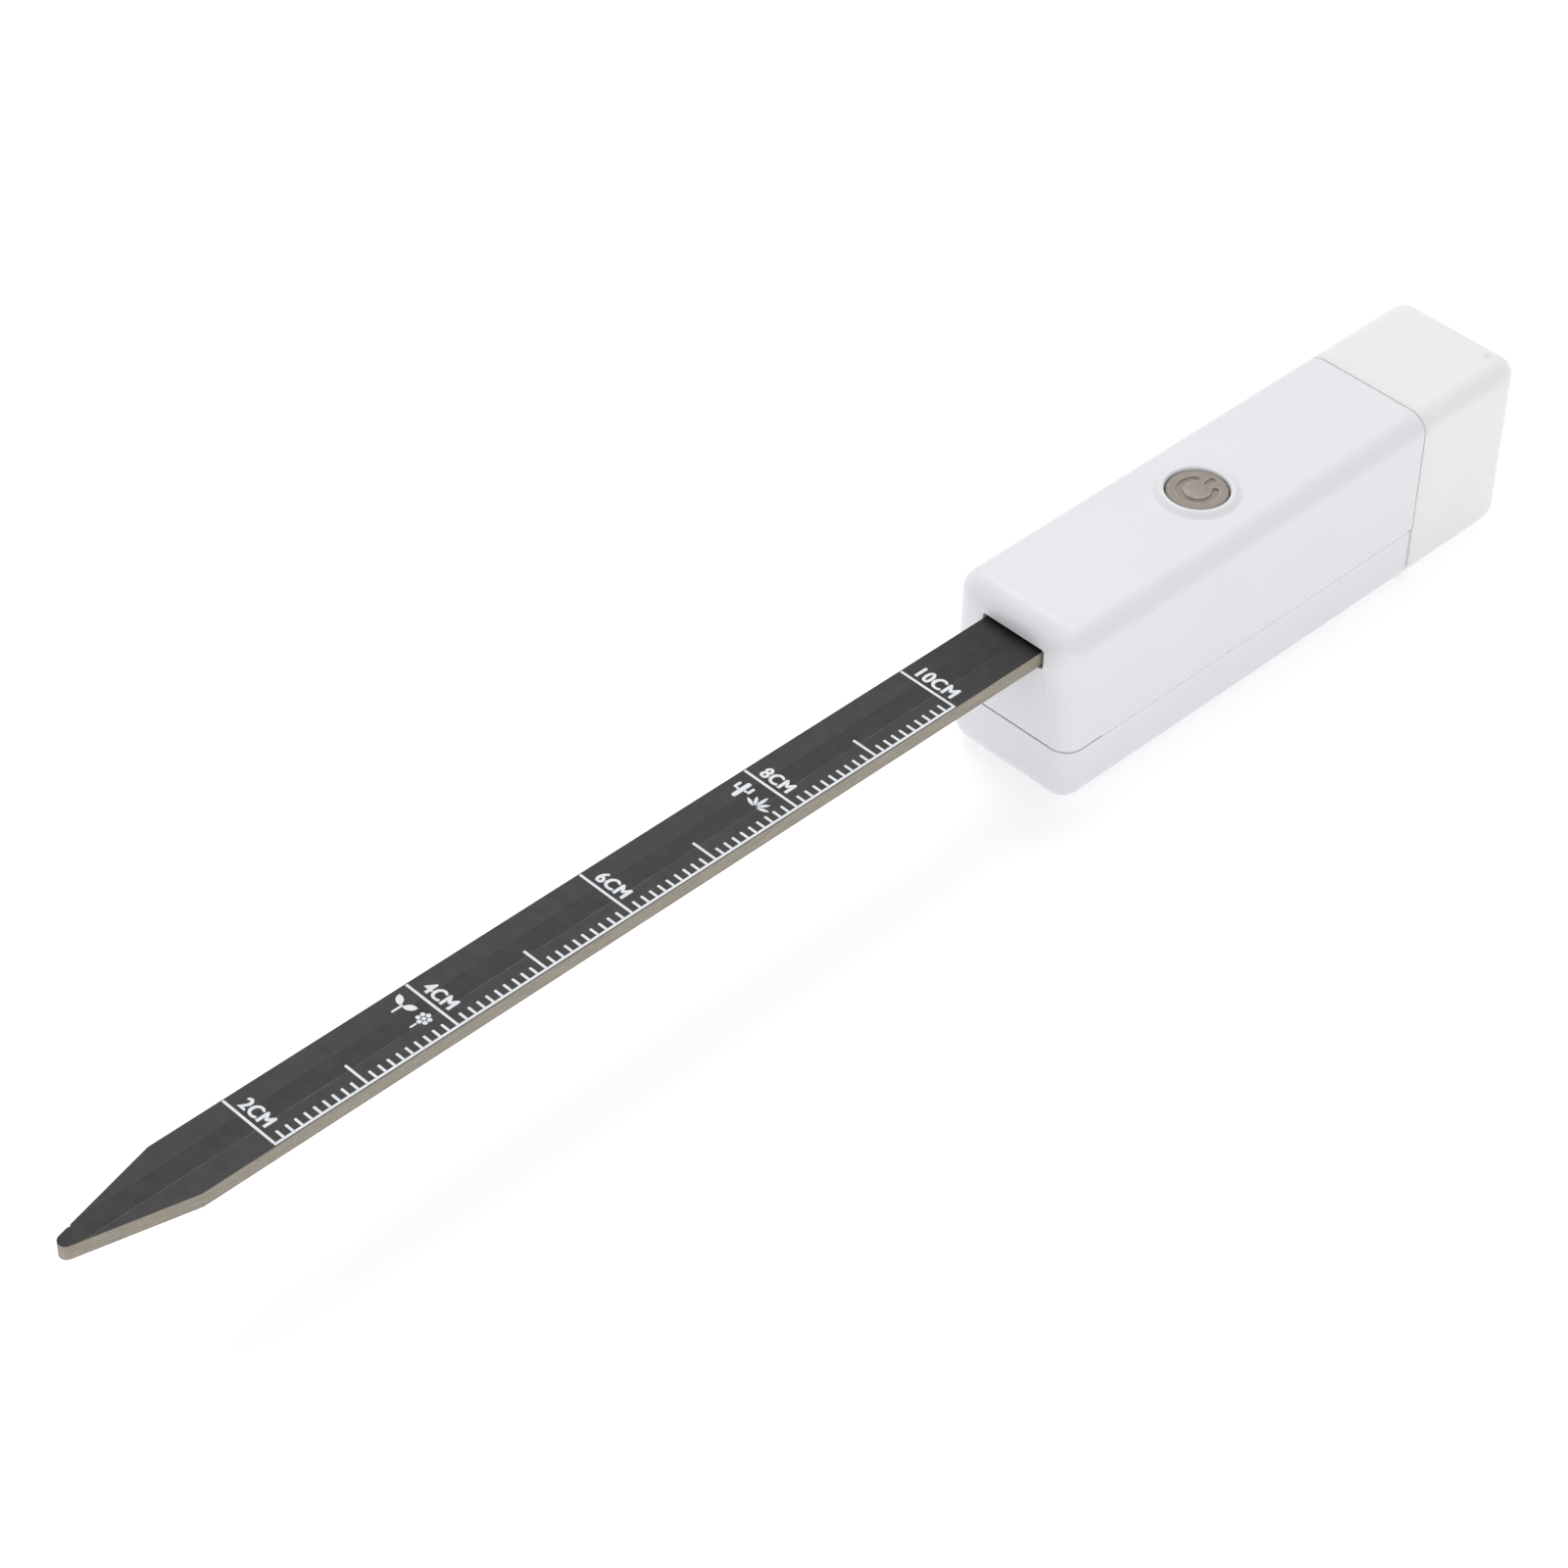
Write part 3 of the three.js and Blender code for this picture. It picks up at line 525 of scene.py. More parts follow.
def moulded(name, colour, roughness, grain_size, grain_depth, crevice_shade_share=0.25, tone=0.02,
            lip_wear_and_highlight=(0.8, wear_and_highlight_white), mark=None, **uniform):
    """Moulded plastic: drifting tone, eroded grain, lips lightened as wear and a painted highlight, and
    painted shade in the seams.
    """
    made, tree, shader = new_material(name, **uniform)
    base = use(tree, drift, colour=(*colour, 1), amount=tone, size=8.0)
    rubbed_and_highlit = use(tree, edge_wear_and_highlight, radius=0.25)
    # Painted shade: seams and hollows are darkened where the surface sees little of the room.
    base = layer(tree, base, use(tree, crevice, reach=0.45), crevice_shade_share, seam_shade_grey)
    # Wear and painted highlight: lips and edges are lightened towards a pale colour.
    base = layer(tree, base, rubbed_and_highlit, *lip_wear_and_highlight)
    base = layer(tree, base, use(tree, dust, spacing=2.2, speck=0.035), 0.35, speck_brown)
    if mark:
        away = add(tree, "VectorMath", {"Vector": place(tree)}, operation="DISTANCE")
        away.inputs[1].default_value = mark
        ragged = maths(tree, "MULTIPLY_ADD", noise(tree, place(tree), 0.3), 0.4, away.outputs["Value"])
        base = blend(tree, ramp(tree, ragged, 0.75, 0.4, 0, 0.3), base, (*gate_grey, 1))
    uneven = patches(tree, 3.0, 0.3, 0.7, roughness - 0.04, roughness + 0.05)
    smoother = maths(tree, "MULTIPLY_ADD", rubbed_and_highlit, -0.08, uneven)
    finish(tree, shader, base, smoother, use(tree, grain, size=grain_size), grain_depth)
    return made


even = (1.0, 1.0, 1.0)
housing_plastic = moulded(
    "housing plastic", (0.745, 0.752, 0.782), 0.42, 0.14, 0.0025,
    Subsurface_Weight=0.05, Subsurface_Scale=0.6 * MM, Subsurface_Radius=even,
)
cap_plastic = moulded(
    "frosted plastic", (0.79, 0.79, 0.785), 0.5, 0.1, 0.002, crevice_shade_share=0.15,
    mark=(end_x - 2.25, -half_width + 2.6, roof_z),
    Subsurface_Weight=0.3, Subsurface_Scale=1.5 * MM, Subsurface_Radius=even,
)
button_plastic = moulded(
    "taupe button", (0.29, 0.25, 0.212), 0.5, 0.09, 0.006, crevice_shade_share=0.75, tone=0.08, lip_wear_and_highlight=(0.7, wear_and_highlight_taupe)
)
print("moulded plastics ready")

# %% [markdown]
# ## The shell
# The upper shell is the part a hand holds. A rounded box is cut off below the parting line and before the
# cap, an inner skin is laid inside it, and the two meet at a flat rim. The slot, the button's raised ring
# and the screw bosses go into the panels as holes with walls of their own, so that their edges are real
# geometry that can be rounded.

# %% The outer and inner skins, shared by shell, cover and cap
def outer_skin(bm, cuts):
    """The handle's whole outer form, cut where this part ends; gives back its open rim."""
    rounded_box(bm, Vector((front_x, -half_width, 0)), Vector((end_x, half_width, roof_z)), edge_radius, 14)
    for level, axis, above in cuts:
        cut_away(bm, list(bm.faces), level, axis, above)
    return [e for e in bm.edges if e.is_boundary]


def inner_skin(bm, low, high, radius, segments, cuts):
    """A smaller box inside, cut in the same places and turned to face inwards."""
    before = set(bm.faces)
    rounded_box(bm, Vector(low), Vector(high), radius, segments)
    for level, axis, above in cuts:
        cut_away(bm, added(bm, before), level, axis, above)
    flip(bm, added(bm, before))


# %% The button's raised ring, as a profile
ring_crest = shell_high.z
ring_foot_radius = 4.4
ring_crest_radius = 3.5
flange_seat = button_low.z + 1.0
flange_well_radius = 4.6


def ring_profile():
    """From the soft outer foot over the crest, down the bore, and out under the ceiling."""
    points = []
    steps = 12
    rise = ring_crest - roof_z
    for i in range(steps + 1):
        share = i / steps
        radius = ring_foot_radius + (ring_crest_radius - ring_foot_radius) * share
        points.append((radius, roof_z + rise * (1 - math.cos(math.pi * share)) / 2))
    round_in = ring_crest_radius - bore_radius
    for i in range(1, steps // 2 + 1):
        turn = i / (steps // 2) * math.pi / 2
        drop = round_in * (1 - math.cos(turn))
        points.append((ring_crest_radius - round_in * math.sin(turn), ring_crest - drop))
    points += [(bore_radius, flange_seat), (flange_well_radius, flange_seat), (flange_well_radius, ceiling)]
    return points


# %% The slot's outlines, from its soft lip to the inner wall
slot_middle = Vector((0, 0, (board_low.z + board_high.z) / 2))
slot_lip = 0.14


def slot_loops(bm):
    width = blade_width + 2 * slot_gap
    height = board_high.z - board_low.z + 2 * slot_gap
    loops = []
    for x, grow in ((0, slot_lip), (0.04, 0.04), (slot_lip, 0), (wall, 0)):
        at = facing(-Y, Z, slot_middle + X * (front_x + x))
        loops.append(rounded_rectangle(bm, width + 2 * grow, height + 2 * grow, slot_gap + grow, at))
    return loops


# %% Build the shell
screw_nodes = ("board_screw_front", "board_screw_rear")
boss_radius, boss_hole, boss_clearance = 2.0, 0.95, 0.15
barb_pocket_depth = 0.55
barb_places = [
    ((front_x + 10.7, 9.2), (front_x + 15.3, 10.8)),
    ((rear_x - 9.6, 9.2), (rear_x - 5.0, 10.8)),
    ((rear_x - 3.1, 13.2), (rear_x - 1.5, 15.3)),
]


def pocket(bm, side, low, high, depth):
    """A pocket in a side wall's inner face, from corner to corner in x and z; gives back its mouth."""
    at = Vector(((low[0] + high[0]) / 2, side * inner_half, (low[1] + high[1]) / 2))
    size, corner = (high[0] - low[0], high[1] - low[1]), 0.15
    mouth = rounded_rectangle(bm, *size, corner, facing(X, Z, at), steps=2)
    floor_loop = rounded_rectangle(bm, *size, corner, facing(X, Z, at + Y * side * depth), steps=2)
    tube(bm, [mouth, floor_loop])
    fill(bm, loop_edges(floor_loop))
    return loop_edges(mouth)


def screw_boss(bm, name):
    """A boss under the roof with a blind hole for a screw; gives back its foot in the ceiling."""
    low, high = box_mm(name)
    lower_end, hole_end = board_high.z + boss_clearance, ceiling + wall / 3
    profile = [(boss_radius, ceiling), (boss_radius, lower_end), (boss_hole, lower_end)]
    profile += [(boss_hole, hole_end), (0, hole_end)]
    return loop_edges(turned(bm, Vector(((low.x + high.x) / 2, 0, 0)), profile, steps=32))


def build_shell():
    bm = bmesh.new()
    cuts = [(shell_low.z, Z, False), (rear_x, X, True)]
    outer_rim = outer_skin(bm, cuts)
    top = take_panel(bm, Z, roof_z)
    front = take_panel(bm, -X, -front_x)
    loops = slot_loops(bm)
    tube(bm, loops)
    fill(bm, front + loop_edges(loops[0]))
    crest_ring = turned(bm, Vector((button_x, 0, 0)), ring_profile())
    fill(bm, top + loop_edges(crest_ring))
    well_ring = [v for v in bm.verts if abs(v.co.z - ceiling) < touching and v.is_boundary]
    low, high = (front_x + wall, -inner_half, -2), (rear_x + 4, inner_half, ceiling)
    inner_skin(bm, low, high, inner_radius, 10, cuts)
    bm.normal_update()
    roof = take_panel(bm, -Z, -ceiling)
    back = take_panel(bm, X, front_x + wall)
    fill(bm, back + loop_edges(loops[-1]))
    holes = loop_edges(well_ring)
    for name in screw_nodes:
        holes += screw_boss(bm, name)
    fill(bm, roof + holes)
    for side in (1, -1):
        wall_border = take_panel(bm, -Y * side, -inner_half)
        for low, high in barb_places:
            wall_border += pocket(bm, side, low, high, barb_pocket_depth)
        fill(bm, wall_border)
    join_corners(bm, rear_x, shell_low.z)
    rim(bm, Z, shell_low.z)
    rim(bm, X, rear_x)
    bmesh.ops.recalc_face_normals(bm, faces=bm.faces)
    soften_rim(bm, outer_rim)
    return bm


piece(build_shell(), "upper_shell_moulding", "handle", [housing_plastic], ["upper_shell"])

# %% [markdown]
# ## The battery cover
# A shallow tray closes the handle from below. It slides off towards the probe, so its rear end is open,
# hooks of the cradle run in grooves along its walls, and five thumb grooves under it give grip. The
# grooves are strips of the inner wall pushed outwards, which keeps the tray one closed skin.

# %% Build the battery cover
hook_groove = (3.35, 4.65)
hook_groove_depth = 0.6
grip_count, grip_pitch, grip_width, grip_depth, grip_setback = 5, 1.6, 8.0, 0.4, 8.0
cover_end = cover_high.x
tongue_setback = 0.08


def side_wall(bm, side):
    """The faces of the inner wall on one side."""
    inwards = [f for f in bm.faces if abs(f.normal.y + side) < slack]
    return [f for f in inwards if abs(f.calc_center_median().y - side * inner_half) < slack]


def push_groove(bm, side):
    """Pushes a lengthwise strip of the inner wall outwards, open at the rear."""
    for level in hook_groove:
        parts = list({g for f in side_wall(bm, side) for g in (f, *f.edges, *f.verts)})
        bmesh.ops.bisect_plane(bm, geom=parts, dist=same_point, plane_co=Z * level, plane_no=Z)
    strip = [f for f in side_wall(bm, side) if hook_groove[0] < f.calc_center_median().z < hook_groove[1]]
    push(bm, strip, Y * side * hook_groove_depth)
    ends = [f for f in bm.faces if all(abs(v.co.x - cover_end) < touching for v in f.verts)]
    bmesh.ops.delete(bm, geom=ends, context="FACES")


def thumb_groove(bm, x):
    """A grip groove across the underside with a soft lip and foot; gives back its mouth."""
    loops = []
    soft, corner = 0.08, 0.38
    for z, grow in ((0, soft), (soft, 0), (grip_depth - soft, 0), (grip_depth, -soft)):
        size = (grip_pitch / 2 + 2 * grow, grip_width + 2 * grow)
        loops.append(rounded_rectangle(bm, *size, corner + grow, facing(X, Y, Vector((x, 0, z)))))
    tube(bm, loops)
    fill(bm, loop_edges(loops[-1]))
    return loop_edges(loops[0])


def side_tongue(bm, side):
    """A tongue in the wall's top that almost closes the parting line along one side."""
    y0, y1 = sorted((side * (inner_half + 0.3), side * (half_width - tongue_setback)))
    low = Vector((front_x + 5, y0, cover_high.z - 0.15))
    rounded_box(bm, low, Vector((cover_end - 0.2, y1, cover_high.z + 0.16)), 0.04, 2)


def build_cover():
    bm = bmesh.new()
    cuts = [(cover_high.z, Z, True), (cover_end, X, True)]
    outer_rim = outer_skin(bm, cuts)
    under = take_panel(bm, -Z, 0)
    for i in range(grip_count):
        under += thumb_groove(bm, front_x + grip_setback + grip_pitch * (i + 0.25))
    fill(bm, under)
    inner_skin(bm, (front_x + wall, -inner_half, wall), (rear_x + 4, inner_half, roof_z), 0.15, 3, cuts)
    bm.normal_update()
    for side in (1, -1):
        push_groove(bm, side)
    join_corners(bm, cover_end, cover_high.z)
    rim(bm, Z, cover_high.z)
    rim(bm, X, cover_end)
    bmesh.ops.recalc_face_normals(bm, faces=bm.faces)
    soften_rim(bm, outer_rim)
    for side in (1, -1):
        side_tongue(bm, side)
    return bm


piece(build_cover(), "battery_cover_tray", "cover", [housing_plastic], ["battery_cover"])

# %% [markdown]
# ## The light cap
# The frosted cap lets the indicator lights shine through. It is a hollow box, open towards the shell, with
# two side tabs and one top tab that snap into the shell. The tabs are moulded on, so they sink into the
# cap's walls.

# %% Build the cap
cap_front = rear_x + seam
side_tab_z, top_tab_z, top_tab_half = (13.5, 15.0), (17.4, 18.5, 19.1), 3.5
tip_x, socket_x, root_x = cap_low.x, cap_front + 0.2, cap_front + 1.4
side_tab_bars = [
    (5.2, 6.1, tip_x, root_x),
    (5.2, 6.7, socket_x, root_x),
    (5.8, 6.65, rear_x - 2.8, rear_x - 1.8),
]


def tab(bm, low, high):
    """A small rounded bar between two corners."""
    rounded_box(bm, Vector(low), Vector(high), 0.12, 2)


def spigot(bm):
    """A low band round the cap's rim that almost closes the seam, set back from the outer face."""
    loops = []
    back, front = cap_front + 0.1, rear_x + 0.04
    for x, inset in ((back, 0.14), (front, 0.14), (front, 1.0), (back, 1.0)):
        at = facing(Y, Z, Vector((x, 0, roof_z / 2)))
        size = (2 * (half_width - inset), roof_z - 2 * inset)
        loops.append(rounded_rectangle(bm, *size, edge_radius - inset, at, steps=8))
    tube(bm, loops + loops[:1])


def build_cap():
    bm = bmesh.new()
    cuts = [(cap_front, X, False)]
    outer_rim = outer_skin(bm, cuts)
    low, high = (rear_x - 4, -inner_half, wall), (end_x - cap_end_wall, inner_half, ceiling)
    inner_skin(bm, low, high, inner_radius, 6, cuts)
    rim(bm, X, cap_front)
    bmesh.ops.recalc_face_normals(bm, faces=bm.faces)
    soften_rim(bm, outer_rim)
    for side in (1, -1):
        for near, far, first, last in side_tab_bars:
            y0, y1 = sorted((side * near, side * far))
            tab(bm, (first, y0, side_tab_z[0]), (last, y1, side_tab_z[1]))
    tab(bm, (tip_x, -top_tab_half, top_tab_z[0]), (root_x, top_tab_half, top_tab_z[1]))
    tab(bm, (socket_x, -top_tab_half, top_tab_z[0]), (root_x, top_tab_half, top_tab_z[2]))
    before = set(bm.faces)
    spigot(bm)
    bmesh.ops.recalc_face_normals(bm, faces=added(bm, before))
    return bm


piece(build_cap(), "light_cap_moulding", "handle", [cap_plastic], ["diffuser_cap"])

# %% [markdown]
# ## The button
# A turned cap with a rounded rim stands in the ring, held by a flange under the roof. Its power sign is
# sunk, with round line ends as a milling cutter leaves them. The sign is drawn four times between the top
# and its floor, a little wider or narrower each time, so its walls get a soft lip and a soft foot.

# %% Draw the power sign
sign_radius, sign_half, sign_depth, sign_gap = 1.74, 0.34, 0.25, math.pi / 4
bar_from, bar_to = 1.15, 2.5


def sign_arc(bm, centre, half):
    """The open ring of the power sign, with round ends, drawn with a given half width."""
    start, sweep = sign_gap, 2 * math.pi - 2 * sign_gap
    spoke = lambda angle: Vector((math.cos(angle), math.sin(angle), 0))
    near_end, far_end = centre + spoke(start) * sign_radius, centre + spoke(start + sweep) * sign_radius
    first = centre + spoke(start) * (sign_radius + half)
    moves = [(centre, sweep, 40), (far_end, math.pi, 8), (centre, -sweep, 40), (near_end, math.pi, 8)]
    return outline(bm, first, moves)


def sign_bar(bm, centre, half):
    """The short bar in the ring's gap."""
    near, far = centre + X * (bar_from + sign_half), centre + X * (bar_to - sign_half)
    return outline(bm, far - Y * half, [(far, math.pi, 10), near + Y * half, (near, math.pi, 10)])


# %% Build the button
flange_radius, flange_foot, flange_top, stem_radius, rim_round = 3.85, 0.4, 0.9, 1.2, 0.25
key_half, key_reach = 0.6, 0.6


def button_profile():
    """From the flat top over the rounded rim, down to the flange, and in to the stem's foot."""
    top, foot = button_high.z, button_low.z
    points = [(button_radius - rim_round, top)]
    for i in range(1, 7):
        turn = i / 6 * math.pi / 2
        inset, drop = rim_round * (1 - math.sin(turn)), rim_round * (1 - math.cos(turn))
        points.append((button_radius - inset, top - drop))
    points += [(button_radius, foot + flange_top), (flange_radius, foot + flange_top)]
    points += [(flange_radius, foot + flange_foot), (stem_radius, foot + flange_foot)]
    return points + [(stem_radius, foot), (0, foot)]


def key_faces(bm, centre):
    """The piece of the flange's edge that becomes the key."""
    faces = [f for f in bm.faces if abs(f.normal.z) < 0.1 and f.normal.y > 0]
    faces = [f for f in faces if abs((f.calc_center_median().xy - centre.xy).length - flange_radius) < 0.02]
    return [f for f in faces if abs(f.calc_center_median().x - centre.x) < key_half]


def build_button():
    bm = bmesh.new()
    centre = Vector((button_x, 0, 0))
    top = loop_edges(turned(bm, centre, button_profile(), steps=96))
    for draw in (sign_arc, sign_bar):
        loops = []
        for drop, grow in ((0, 0.06), (0.05, 0), (sign_depth - 0.04, -0.01), (sign_depth, -0.05)):
            loops.append(draw(bm, centre + Z * (button_high.z - drop), sign_half + grow))
        tube(bm, loops)
        fill(bm, loop_edges(loops[-1]))
        top += loop_edges(loops[0])
    fill(bm, top)
    bmesh.ops.recalc_face_normals(bm, faces=bm.faces)
    push(bm, key_faces(bm, centre), Y * key_reach)
    return bm


piece(build_button(), "power_button", "button", [button_plastic], ["button_cap"])

# %% [markdown]
# ## Solder mask, bare fibreglass and ink
# The probe is a bare circuit board. Black solder mask covers both faces, with a faint lengthwise streak
# from the squeegee. The sawn sides show the glass fibre in grey beige, under a thin brown line where the
# mask ends. The scale is silk-screen ink, a little uneven and thin at its edges.

# %% Solder mask
channel = (-1.02, 1.06)
mask_black, channel_black = (0.031, 0.0302, 0.031), (0.015, 0.0142, 0.0152)
streak_black, mask_bloom = (0.028, 0.028, 0.029), (0.075, 0.074, 0.076)
# Painted shade and painted highlight for the two edges of the channel.
channel_edge_shade, channel_edge_highlight = (0.01, 0.01, 0.01), (0.17, 0.165, 0.16)
# Painted dark reflection near the slot: its colour and how far from the slot it reaches.
slot_reflection_black, slot_reflection_reach = (0.012, 0.012, 0.012), 14
chafed_grey, fluff_grey = (0.26, 0.25, 0.23), (0.4, 0.4, 0.4)


def solder_mask():
    made, tree, shader = new_material("solder mask", Specular_IOR_Level=0.24)
    where = add(tree, "SeparateXYZ", {"Vector": place(tree)}).outputs
    lowered = maths(tree, "ADD", where["Y"], -0.06)
    waver = maths(tree, "MULTIPLY_ADD", noise(tree, place(tree, (0.2, 1, 1)), 1.2), 0.12, lowered)

    def line(at, width):
        """A thin line along the board, at a place across it."""
        away = maths(tree, "ABSOLUTE", maths(tree, "SUBTRACT", waver, at))
        return ramp(tree, away, width, width / 3)

    base = use(tree, drift, colour=(*mask_black, 1), amount=0.12, size=4.0)
    in_channel = maths(tree, "MULTIPLY", ramp(tree, waver, -1.08, -1.0), ramp(tree, waver, 1.12, 1.04))
    base = layer(tree, base, in_channel, 0.8, channel_black)
    streak = patches(tree, 0.5, 0.3, 0.7, stretch=(0.06, 1.6, 1), detail=4.0)
    base = layer(tree, base, streak, 0.3, streak_black)
    base = layer(tree, base, patches(tree, 0.12, 0.35, 0.7, detail=5.0, roughness=0.7), 0.3, mask_bloom)
    broken = patches(tree, 0.8, 0.35, 0.6, 0.3, 1.0, stretch=(0.3, 1, 1))
    # Painted shade and painted highlight: a dark line along one edge of the channel and a light, broken line
    # along the other.
    base = layer(tree, base, line(1.08, 0.07), 0.75, channel_edge_shade)
    base = layer(tree, base, maths(tree, "MULTIPLY", line(-1.04, 0.06), broken), 0.5, channel_edge_highlight)
    # Painted dark reflection: the mask darkens towards the slot, as if it mirrored the handle's front face.
    near_slot_reflection = ramp(tree, where["X"], front_x - slot_reflection_reach, front_x - 0.5)
    base = layer(tree, base, near_slot_reflection, 0.9, slot_reflection_black)
    base = layer(tree, base, use(tree, edge_wear_and_highlight, radius=0.06), 0.5, chafed_grey)
    fine = use(tree, dust, spacing=0.9, speck=0.05)
    coarse = use(tree, dust, spacing=3.1, speck=0.03)
    fluff = maths(tree, "MAXIMUM", fine, coarse)
    base = layer(tree, base, fluff, 0.5, fluff_grey)
    rough = maths(tree, "MULTIPLY_ADD", fluff, 0.3, patches(tree, 1.4, 0.3, 0.7, 0.42, 0.54))
    height = maths(tree, "MULTIPLY_ADD", streak, 0.5, use(tree, grain, size=0.16))
    finish(tree, shader, base, rough, height, 0.004)
    return made


# %% Bare fibreglass
strand_dark, strand_pale = (0.24, 0.21, 0.17), (0.5, 0.46, 0.39)
split_brown, burnt_brown = (0.15, 0.125, 0.095), (0.07, 0.042, 0.025)


def bare_fibreglass():
    made, tree, shader = new_material("bare fibreglass", Specular_IOR_Level=0.4)
    strands = patches(tree, 0.5, 0.3, 0.7, stretch=(0.12, 1, 9), detail=5.0, roughness=0.65)
    base = blend(tree, strands, (*strand_dark, 1), (*strand_pale, 1))
    fine = patches(tree, 0.1, 0.42, 0.66, stretch=(0.5, 1, 3), detail=4.0, roughness=0.7)
    base = layer(tree, base, fine, 0.55, split_brown)
    height = add(tree, "SeparateXYZ", {"Vector": place(tree)}).outputs["Z"]
    from_top = maths(tree, "SUBTRACT", board_high.z, height)
    from_foot = maths(tree, "SUBTRACT", height, board_low.z)
    burnt = ramp(tree, maths(tree, "MINIMUM", from_top, from_foot), 0.1, 0.05)
    base = layer(tree, base, burnt, 0.85, burnt_brown)
    rough = ramp(tree, strands, 0, 1, 0.75, 0.6)
    finish(tree, shader, base, rough, maths(tree, "ADD", strands, fine), 0.012)
    return made


# %% Silk-screen ink
ink_white, ink_thin_grey = (0.76, 0.79, 0.82), (0.3, 0.3, 0.31)


def screen_ink():
    made, tree, shader = new_material("screen ink", Specular_IOR_Level=0.4)
    base = use(tree, drift, colour=(*ink_white, 1), amount=0.06, size=2.0)
    thin = maths(tree, "MULTIPLY", patches(tree, 0.09, 0.62, 0.8, detail=3.0, roughness=0.6), 0.5)
    see_through = maths(tree, "MULTIPLY_ADD", use(tree, edge_wear_and_highlight, radius=0.05), 0.3, thin)
    base = blend(tree, maths(tree, "MINIMUM", see_through, 1.0), base, (*ink_thin_grey, 1))
    rough = patches(tree, 0.5, 0.3, 0.7, 0.5, 0.65)
    finish(tree, shader, base, rough, noise(tree, place(tree), 0.06, 3.0), 0.004)
    return made


mask_finish, edge_finish, ink_finish = solder_mask(), bare_fibreglass(), screen_ink()
print("board finishes ready")

# %% [markdown]
# ## The probe board
# One board runs from the pointed tip, through the slot, to the far end of the handle, where it gets wider.
# The copper under the mask leaves a shallow channel down the middle, three hundredths of a millimetre
# deep; a painted shade line and a painted highlight line run along its two edges in the mask. Each face of
# the board gets mask or bare glass by which way it faces.

# %% Build the probe board
tip_taper, tip_radius = 11.9, 0.75
channel_depth = 0.03
board_step = box_mm("slot_seal")[1].x + 0.3
channel_ends = (board_low.x + 2.5, board_step - 0.5)
screw_clearance = 1.1
nick_points = [(0.87, 0), (0.885, 0.13), (0.91, 0)]


def board_outline(bm):
    """The board's outline on its underside."""
    tip, half, z = board_low.x, blade_width / 2, board_low.z
    wide, rear = board_high.y, board_high.x
    slope = math.atan2(half - tip_radius, tip_taper - tip_radius)
    centre = Vector((tip + tip_radius, 0, z))
    at = lambda x, y: Vector((x, y, z))
    arc_start = centre + Vector((-math.sin(slope), math.cos(slope), 0)) * tip_radius
    moves = [at(board_step, -half), at(board_step, -wide), at(rear, -wide), at(rear, wide)]
    shoulder = at(tip + tip_taper, half)
    inward = (centre - arc_start).normalized()
    nick = [shoulder.lerp(arc_start, share) + inward * dent for share, dent in nick_points]
    moves += [at(board_step, wide), at(board_step, half), shoulder]
    moves += [*nick, arc_start, (centre, math.pi - 2 * slope, 12)]
    return loop_edges(outline(bm, at(tip + tip_taper, -half), moves))


def sink_channel(bm, level, outward):
    """Sinks the strip between the copper areas on one face of the board."""
    flat = [f for f in bm.faces if f.normal.z * outward > 0.9]
    strip = [f for f in flat if abs(f.calc_center_median().z - level) < slack]
    strip = [f for f in strip if channel[0] < f.calc_center_median().y < channel[1]]
    strip = [f for f in strip if channel_ends[0] < f.calc_center_median().x < channel_ends[1]]
    push(bm, strip, -Z * outward * channel_depth)


def shows_glass(face):
    """Whether a face is a sawn side of the board, and not a masked face or a wall of the channel."""
    middle = face.calc_center_median()
    in_channel = abs(middle.y) < 1.2 and channel_ends[0] - 0.1 < middle.x < channel_ends[1] + 0.1
    return not (abs(face.normal.z) > 0.9 or face.calc_area() < slack or in_channel)


def build_board():
    bm = bmesh.new()
    edges = board_outline(bm)
    for name in screw_nodes:
        low, high = box_mm(name)
        at = Matrix.Translation(Vector(((low.x + high.x) / 2, 0, board_low.z)))
        hole = bmesh.ops.create_circle(bm, cap_ends=False, radius=screw_clearance, segments=24, matrix=at)
        edges += loop_edges(hole["verts"])
    fill(bm, edges)
    for place_at, normal in [(Y * y, Y) for y in channel] + [(X * x, X) for x in channel_ends]:
        parts = bm.faces[:] + bm.edges[:] + bm.verts[:]
        bmesh.ops.bisect_plane(bm, geom=parts, dist=same_point, plane_co=place_at, plane_no=normal)
    push(bm, list(bm.faces), Z * (board_high.z - board_low.z), keep=True)
    bmesh.ops.recalc_face_normals(bm, faces=bm.faces)
    bm.normal_update()
    sink_channel(bm, board_high.z, 1)
    sink_channel(bm, board_low.z, -1)
    bm.normal_update()
    for face in bm.faces:
        face.material_index = int(shows_glass(face))
    return bm


piece(
    build_board(), "probe_board_masked", "handle",
    [mask_finish, edge_finish], ["probe_board"], soft_edge=0.04,
)

# %% [markdown]
# ## The printed scale
# White ink marks the depth in the soil: a line every millimetre, a longer one every ten, and a number with
# its unit every twenty. Two rows of plain plant pictures show how deep to look for which plant. The ink is
# a thin raised layer, and its lines have slightly round corners, as a screen print has.

# %% Ink helpers
ink_low, ink_high = board_high.z - 0.035, board_high.z + 0.012
scale_zero = board_low.x - 0.35
line_width = 0.27
scale_from, scale_to = 20, 100
full_line, long_line, short_line = 10.0, 4.4, 1.66


def across_board(tenths):
    """The place across the blade for a share of the scale's width, in tenths."""
    return -blade_width / 2 + (tenths + 0.29) * 0.68


